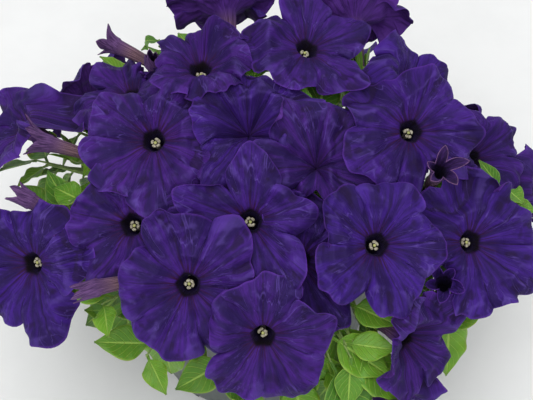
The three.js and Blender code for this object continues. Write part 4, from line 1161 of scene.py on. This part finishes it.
def corolla_finish(name, lit, warm, deep, line, rim, crest_highlight, flame, throat, back, back_vein, tube,
                   tube_vein):
    """Petals of a bloom or bud, each between the lit and the warm colour: streaks that run out from the
    throat, darker midribs and junctions, painted shade where the relief sinks below its surroundings, thin pale
    painted highlights along crinkles on patches of it, paler painted highlights on the relief's crests and
    along the rim, pale painted glints in the grain, a near-black throat whose dark spreads along the veins, and
    a paler back."""
    f = Finish(name, roughness=0.72, sheen_weight=0.08, sheen_roughness=0.35, sheen_tint=srgb(140, 110, 235),
               specular_ior_level=0.14)
    x, y, outside = f.separate(f.attribute("place", "Vector"))
    flat = f.node("ShaderNodeCombineXYZ", X=x, Y=y)
    ring = f.vector("LENGTH", flat, 1)
    around = f.vector("NORMALIZE", flat)
    share = f.minus(ring, 1.0)
    out = f.node("ShaderNodeCombineXYZ", Z=ring)

    def streaks(fineness, stretch, detail):
        """Noise on a cylinder round the bloom, drawn out along the petals."""
        wide = f.vector("SCALE", around, Scale=fineness)
        long = f.vector("SCALE", out, Scale=stretch)
        return f.noise(f.vector("ADD", wide, i1=long), 1.0, detail)

    broad = streaks(4.0, 1.2, 3.0)
    fine = streaks(17.0, 2.2, 4.0)
    hair = streaks(46.0, 5.0, 2.0)
    angle = f.math("ARCTAN2", y, x)
    middle = f.size(f.math("COSINE", f.times(angle, 2.5)))
    away = f.plus(f.times(share, PETAL.usual - TUBE.mouth), float(TUBE.mouth))
    ridge = f.times(f.math("SQRT", f.times(f.minus(1.0, middle), 2.0)), 0.4)
    from_midrib = f.times(ridge, away)
    from_junction = f.times(f.times(middle, 0.4), away)
    midribs = f.step(from_midrib, 0.1, 0.6, 1.0, 0.0)
    lines = f.math("MAXIMUM", midribs, f.step(from_junction, 0.1, 0.8, 0.8, 0.0))
    relief = f.attribute("relief", "Fac")
    grain = f.noise(f.object_place(), 420.0, 3.0, 0.6)
    patches = f.noise(f.object_place(), 55.0, 2.0)
    long_crinkle_highlight = f.size(f.minus(streaks(4.2, 0.9, 1.2), 0.5))
    short_crinkle_highlight = f.size(f.minus(streaks(7.5, 2.4, 2.0), 0.5))
    long_crinkle_highlight = f.times(f.step(long_crinkle_highlight, 0.0, 0.018, 1.0, 0.0), f.step(patches, 0.44, 0.56))
    short_crinkle_highlight = f.times(f.step(short_crinkle_highlight, 0.0, 0.022, 0.7, 0.0), f.step(patches, 0.48, 0.6))
    crinkle_highlights = f.math("MAXIMUM", long_crinkle_highlight, short_crinkle_highlight)
    own = f.mix(f.attribute("tone", "Fac"), lit, warm)
    petal = f.mix(f.step(broad, 0.35, 0.65), deep, own)
    petal = f.mix(f.times(f.step(fine, 0.46, 0.66), 0.5), petal, deep)
    petal = f.mix(f.times(f.step(hair, 0.5, 0.7), 0.35), petal, line)
    # Painted shade: the colour darkens towards line where the relief sinks below its surroundings.
    petal = f.mix(f.step(relief, -0.3, -0.06, 0.7, 0.0), petal, line)
    petal = f.mix(f.times(lines, f.step(share, 0.25, 1.0, 0.7, 0.3)), petal, line)
    # Painted highlight: the colour turns towards the paler highlight colour where the relief stands above its
    # surroundings.
    petal = f.mix(f.times(f.step(relief, 0.12, 0.5), 0.22), petal, crest_highlight)
    # Painted highlight: thin pale lines along fine crinkles, in the highlight colour on patches of the petals;
    # the same lines also roughen the bump.
    petal = f.mix(f.times(crinkle_highlights, f.step(share, 0.1, 0.3, 0.0, 0.42)), petal, crest_highlight)
    # Painted glints: pale specks of the grain in the highlight colour.
    petal = f.mix(f.times(f.step(grain, 0.62, 0.78), 0.12), petal, crest_highlight)
    # Painted highlight: a paler band along the rim.
    petal = f.mix(f.step(share, 0.955, 1.0, 0.0, 0.5), petal, rim)
    spread = f.times(f.step(fine, 0.48, 0.6), f.step(share, 0.0, 0.34, 0.95, 0.0))
    petal = f.mix(spread, petal, flame)
    corners = f.times(f.math("COSINE", f.times(angle, 5.0)), -0.016)
    ragged = f.times(f.minus(fine, 0.5), 0.12)
    edge = f.plus(f.plus(share, corners), ragged)
    petal = f.mix(f.step(edge, -0.05, 0.02, 1.0, 0.0), petal, throat)
    back_colour = f.mix(f.step(fine, 0.45, 0.62), back, back_vein)
    tube_colour = f.mix(f.step(fine, 0.46, 0.58), tube, tube_vein)
    outer = f.mix(f.step(share, -0.35, 0.05), tube_colour, back_colour)
    colour = f.mix(f.step(outside, 0.45, 0.55), petal, outer)
    f.colour(colour)
    speckle = f.noise(f.object_place(), 1400.0, 2.0)
    rough = f.plus(f.times(fine, 0.7), f.times(hair, 0.4))
    rough = f.plus(rough, f.times(crinkle_highlights, 0.6))
    rough = f.plus(rough, f.plus(f.times(speckle, 0.15), f.times(grain, 0.4)))
    f.bump(rough, 0.6 * MM)
    return f.material


def leaf_finish():
    """Leaves: a pale midrib and side veins on mottled green, a paler thin margin and a duller back."""
    f = Finish("leaf_green", roughness=0.5, sheen_weight=0.05, sheen_roughness=0.5, specular_ior_level=0.3,
               subsurface_weight=0.12, subsurface_scale=0.002)
    across, along, side = f.separate(f.attribute("place", "Vector"))
    tone = f.attribute("tone", "Fac")
    width = f.size(across)
    rise = f.minus(f.times(along, VEINS.count), f.times(width, VEINS.slant))
    wave = f.math("COSINE", f.times(rise, TURN))
    veins = f.times(f.step(wave, 0.82, 1.0), f.step(width, 0.75, 1.0, 1.0, 0.0))
    midrib = f.step(width, 0.03, 0.1, 1.0, 0.0)
    mottle = f.noise(f.object_place(), 90.0, 4.0)
    fine = f.noise(f.object_place(), 700.0, 3.0)
    green = f.mix(f.step(tone, 0.0, 1.0), srgb(56, 102, 24), srgb(102, 148, 33))
    green = f.mix(f.step(mottle, 0.35, 0.7, 0.0, 0.5), green, srgb(62, 112, 26))
    green = f.mix(f.step(fine, 0.4, 0.7, 0.0, 0.25), green, srgb(92, 142, 36))
    green = f.mix(f.times(veins, 0.4), green, srgb(146, 184, 72))
    green = f.mix(f.times(midrib, 0.6), green, srgb(160, 192, 86))
    green = f.mix(f.step(width, 0.9, 1.0, 0.0, 0.45), green, srgb(158, 188, 78))
    green = f.mix(f.step(side, 0.4, 0.6, 0.0, 0.45), green, srgb(126, 158, 92))
    f.colour(green)
    height = f.plus(f.times(veins, -0.6), f.times(midrib, -0.8))
    height = f.plus(height, f.times(fine, 0.5))
    f.bump(height, 0.35 * MM)
    return f.material


def speckled_finish(name, light, dark, scale, distance, **shader):
    """A plain finish of two near colours that noise mixes, with a bump of the same noise."""
    f = Finish(name, **shader)
    coarse = f.noise(f.object_place(), scale, 4.0, 0.6)
    grain = f.noise(f.object_place(), scale * 6, 3.0, 0.6)
    colour = f.mix(f.step(coarse, 0.35, 0.65), dark, light)
    f.colour(f.mix(f.step(grain, 0.4, 0.8, 0.0, 0.35), colour, light))
    f.bump(f.plus(coarse, f.times(grain, 0.5)), distance)
    return f.material


def aim(item, target, direction, distance):
    """Sets a light or the camera at a distance from its target, looking at it."""
    item.location = Vector(target + direction * distance)
    item.rotation_euler = Vector(-direction).to_track_quat("-Z", "Y").to_euler()


def studio():
    """The pale floor, the soft lights and the camera at the photograph's angle."""
    mesh = bpy.data.meshes.new("floor")
    corners = [(-FLOOR, -FLOOR, 0), (FLOOR, -FLOOR, 0), (FLOOR, FLOOR, 0), (-FLOOR, FLOOR, 0)]
    mesh.from_pydata(corners, [], [(0, 1, 2, 3)])
    floor = bpy.data.objects.new("floor", mesh)
    bpy.context.collection.objects.link(floor)
    mesh.materials.append(speckled_finish("floor_paper", srgb(228, 229, 229), srgb(225, 226, 226), 20.0,
                                          0.02 * MM, roughness=0.9))
    world = bpy.data.worlds.new("studio")
    world.use_nodes = True
    world.node_tree.nodes["Background"].inputs["Color"].default_value = (1.0, 1.0, 1.0, 1.0)
    world.node_tree.nodes["Background"].inputs["Strength"].default_value = DAYLIGHT
    bpy.context.scene.world = world
    for name, turn, rise, distance, size, power in LIGHTS:
        light = bpy.data.lights.new(name, "AREA")
        light.size = size
        light.energy = power
        lamp = bpy.data.objects.new(name, light)
        bpy.context.collection.objects.link(lamp)
        aim(lamp, DOME.centre * MM, heading(turn, rise), distance)
    data = bpy.data.cameras.new("camera")
    data.sensor_width = CAMERA.sensor
    data.lens = CAMERA.lens
    camera = bpy.data.objects.new("camera", data)
    bpy.context.collection.objects.link(camera)
    aim(camera, CAMERA.aim * MM, heading(0, CAMERA.rise), CAMERA.distance)
    bpy.context.scene.camera = camera
    bpy.context.scene.view_settings.view_transform = "Standard"


def flower_branch(flower):
    """The branch that bears a flower: its axes are those of the tube's base."""
    centre, x, _, z = tube_axes(flower, 1.0)
    axes = Axes(centre[0], z[0])
    axes.set_x(x[0])
    return SimpleNamespace(flower=flower, axes=axes, tip=axes.point(0, 0, -CALYX.depth))


def leaf_branch(tip, way, spin, count, size, seed, sinks=True, packed=False):
    """A branch that grows a way and bears a count of leaves at its tip, or a single leaf where the count is
    0. One that sinks has its tip moved below the blooms above it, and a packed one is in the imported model."""
    if sinks:
        outward = unit(tip - DOME.centre)
        tip = tip - outward * sink_below(tip[None], outward, blooms)[0]
    return SimpleNamespace(flower=None, axes=Axes(tip, way, spin), tip=tip, count=count, size=size, seed=seed,
                           packed=packed)


def filling_shoots(first_seed):
    """Shoots in rings inside the plant, each a little out of place by chance."""
    draw = np.random.default_rng(SEEDS.inside)
    shoots = []
    for lat in FILL.lats:
        for k in range(FILL.lons):
            lon = 360 * (k + 0.5 * draw.random()) / FILL.lons
            rise = lat * FILL.rise + FILL.spread * draw.normal()
            tip = on_dome(lon, lat + FILL.stray * draw.normal(), FILL.lift)
            way = heading(lon + FILL.spread * draw.normal(), rise)
            spin = 360 * draw.random()
            size = FILL.size * (FILL.least + FILL.more * draw.random())
            shoots.append(leaf_branch(tip, way, spin, FILL.leaves, size, first_seed + len(shoots)))
    return shoots


def seat_branches(group):
    """Seats branches on the nearest stems, the lower ones further down, and gives them their stalks."""
    for k, stem in enumerate(stems):
        own = sorted((b for b in group if nearest_stem(b.tip) == k), key=lambda b: b.tip[2])
        for i, branch in enumerate(own):
            branch.stem = k
            seat = along_length(stem, lerp(*BRANCH.seats, i / max(1, len(own) - 1)))
            branch.path = stalk_line(branch.tip, -branch.axes.z, seat)


def add_beads(flower, slim, up_to):
    """Gives a flower beads, which are spheres along its tube, calyx and, in a bud, its lobes."""
    share = np.linspace(0, 1, 9)
    flower.beads = tube_axes(flower, 0.1 + 0.9 * share)[0]
    flower.bead_radii = np.where(share > 0.5, CALYX.room, tube_radius(share) * slim)
    if up_to:
        up_bud = np.linspace(0, 1, up_to)
        flower.beads = np.concatenate([flower.beads, flower.axes.point(0, 0, flower.cup * up_bud)])
        widths = lerp(LOBE.mouth, 0.7 * flower.radius, up_bud)
        flower.bead_radii = np.concatenate([flower.bead_radii, widths])


def side_leaf(branch):
    """A single leaf, shortened until it clears the flowers, or none."""
    axes = Axes(branch.tip, branch.axes.z)
    axes.set_x(UP + 0.5 * unit(branch.tip - DOME.centre))
    for share in FILL.shorter:
        made = leaf(axes, share * branch.size, branch.seed)
        if room(made.points[::3], spheres, girths) > 0:
            return [made]
    return []


def solid_corners(node):
    """The corners of a node's solid, in millimetres."""
    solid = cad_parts[node].data
    corners = np.empty(3 * len(solid.vertices))
    solid.vertices.foreach_get("co", corners)
    return corners.reshape(-1, 3) / MM


def stalk(branch, radius):
    """The skin of a branch's stalk."""
    return skin(strand(branch.path, branch.axes.x, radius, FINE.stalk_round), tone=0.5, finish=1)


def branch_skins(branch, corners):
    """A branch's stalk, with the calyx under its flower or with its leaves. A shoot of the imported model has
    the leaves that the solid has, and the others have those that find room."""
    if branch.flower:
        return [stalk(branch, BRANCH.stalk), *calyx(branch.axes, branch.flower.seed)]
    tapered = BRANCH.tip + (1 - BRANCH.tip) * smoothstep(np.linspace(0, 1, len(branch.path)), 0.0, 0.35)
    skins = [stalk(branch, BRANCH.shoot * tapered)]
    if branch.count == 0:
        skins.extend(side_leaf(branch))
    for blade in shoot_leaves(branch.size, branch.count, branch.axes, branch.path, branch.seed):
        if branch.packed:
            fits = np.linalg.norm(corners - blade.points[-1], axis=1).min() < LEAF_MATCH
        else:
            fits = clear_of_pot(blade.points) and room(blade.points[::5], spheres, girths) > 0
        if fits:
            skins.append(blade)
    return skins


studio()

# In both finishes the paler highlight colour paints highlights on crests, crinkles and grain, rim paints a
# highlight along the edge, and line also paints the shade in the hollows of the relief.
petal_velvet = corolla_finish(
    "petal_velvet", lit=srgb(55, 25, 117), warm=srgb(61, 25, 109), deep=srgb(32, 15, 70),
    line=srgb(26, 10, 46), rim=srgb(82, 42, 138), crest_highlight=srgb(92, 70, 154), flame=srgb(46, 8, 44),
    throat=srgb(9, 3, 8), back=srgb(74, 38, 120), back_vein=srgb(58, 28, 96),
    tube=srgb(112, 84, 112), tube_vein=srgb(72, 48, 66))
bud_skin = corolla_finish(
    "bud_skin", lit=srgb(62, 36, 98), warm=srgb(66, 34, 88), deep=srgb(36, 20, 58),
    line=srgb(26, 12, 34), rim=srgb(136, 98, 132), crest_highlight=srgb(84, 60, 110), flame=srgb(24, 10, 26),
    throat=srgb(9, 3, 8), back=srgb(98, 68, 114), back_vein=srgb(62, 40, 78),
    tube=srgb(132, 102, 110), tube_vein=srgb(82, 58, 70))
leaf_green = leaf_finish()
stalk_green = speckled_finish("stalk_green", srgb(126, 152, 74), srgb(92, 118, 54), 160.0, 0.2 * MM,
                              roughness=0.6, sheen_weight=0.3, sheen_roughness=0.4)
pollen = speckled_finish("pollen", srgb(176, 170, 152), srgb(124, 116, 100), 900.0, 0.3 * MM, roughness=0.9)
stigma = speckled_finish("stigma", srgb(172, 170, 104), srgb(130, 138, 78), 900.0, 0.1 * MM, roughness=0.5)
filament = speckled_finish("filament", srgb(168, 160, 150), srgb(120, 104, 120), 600.0, 0.1 * MM,
                           roughness=0.6)
pot_plastic = speckled_finish("pot_plastic", srgb(84, 92, 90), srgb(74, 82, 80), 60.0, 0.05 * MM,
                              roughness=0.42)
potting_soil = speckled_finish("potting_soil", srgb(64, 48, 36), srgb(32, 23, 17), 260.0, 0.8 * MM,
                               roughness=1.0)

blooms = []
for row in BLOOMS:
    blooms.append(settle(row, len(blooms) + 1, blooms[:]))
buds = [settle(row, len(BLOOMS) + 1 + i, [], notch=0.5, droop=0.0, wave=0.4) for i, row in enumerate(BUDS)]
flowers = [*blooms, *buds]
for flower in blooms:
    add_beads(flower, slim=1, up_to=0)
for flower in buds:
    add_beads(flower, slim=LOBE.mouth / TUBE.mouth, up_to=4)

# Every flower and leafy shoot is a branch. The extras are the single leaves and the shoots inside.
stems = [stem_line(k) for k in range(6)]
branches = [flower_branch(flower) for flower in flowers]
for i, (lon, lat, lift, turn, rise, spin, count, size) in enumerate(SHOOTS):
    tip = on_dome(lon, lat, lift)
    branches.append(leaf_branch(tip, heading(turn, rise), spin, count, size, SEEDS.shoot + i,
                                i != FREE_SHOOT, True))
seat_branches(branches)
extras = [leaf_branch(on_dome(lon, lat, lift), heading(turn, rise), 0.0, 0, length, SEEDS.leaf + i, False)
          for i, (lon, lat, lift, turn, rise, length) in enumerate(SIDE_LEAVES)]
extras.extend(filling_shoots(SEEDS.filling + len(extras)))
seat_branches(extras)

# Spheres on the petals and in the tubes, which single leaves and inner shoots keep clear of.
petal_points = [bloom.grid[::2, ::3].reshape(-1, 3) for bloom in blooms]
spheres = np.concatenate([*petal_points, *(flower.beads for flower in flowers)])
girths = np.concatenate([np.full(sum(map(len, petal_points)), FILL.petal),
                         *(flower.bead_radii + FILL.tube for flower in flowers)])
extras = [b for b in extras if b.count == 0 or room(b.path, spheres, girths) > 0]

for bloom in blooms:
    others = [other for other in flowers if other is not bloom]
    lines = [b.path for b in branches if b.flower is not bloom]
    beads = np.concatenate([*(o.beads for o in others), *stems, *lines])
    radii = np.concatenate([*(o.bead_radii for o in others), *(np.full(len(s), STEM.radius) for s in stems),
                            *(np.full(len(line), BRANCH.shoot) for line in lines)])
    find_passages(bloom, beads, radii)

for bloom in blooms:
    made_piece(f"corolla_{bloom.name}", [corolla(bloom)], [petal_velvet], "petal", f"bloom_{bloom.name}")
    if bloom.name not in SHUT:
        made_piece(f"anthers_{bloom.name}", anthers(bloom), [pollen, stigma, filament], "stamen",
                   f"stamens_{bloom.name}")
for bud in buds:
    finish = petal_velvet if bud.name in VIOLET else bud_skin
    made_piece(f"trumpet_{bud.name}", [trumpet(bud)], [finish], "bud", f"bud_{bud.name}")

for k, stem in enumerate(stems):
    node = f"leafy_stem_{k + 1}"
    corners = solid_corners(node)
    taper = np.linspace(STEM.radius, STEM.tip, len(stem))
    rod = strand(stem, np.array([1.0, 0, 0]), taper, FINE.stem_round)
    skins = [skin(rod, tone=0.5, finish=1)]
    for branch in (b for b in branches + extras if b.stem == k):
        skins.extend(branch_skins(branch, corners))
    made_piece(f"leafy_branch_{k + 1}", skins, [leaf_green, stalk_green], "leaf", node)

pot = made_piece("ribbed_pot", [pot_skin()], [pot_plastic], "pot", "pot")
cut_drains(pot)
made_piece("potting_soil", soil_skins(), [potting_soil], "soil", "soil")
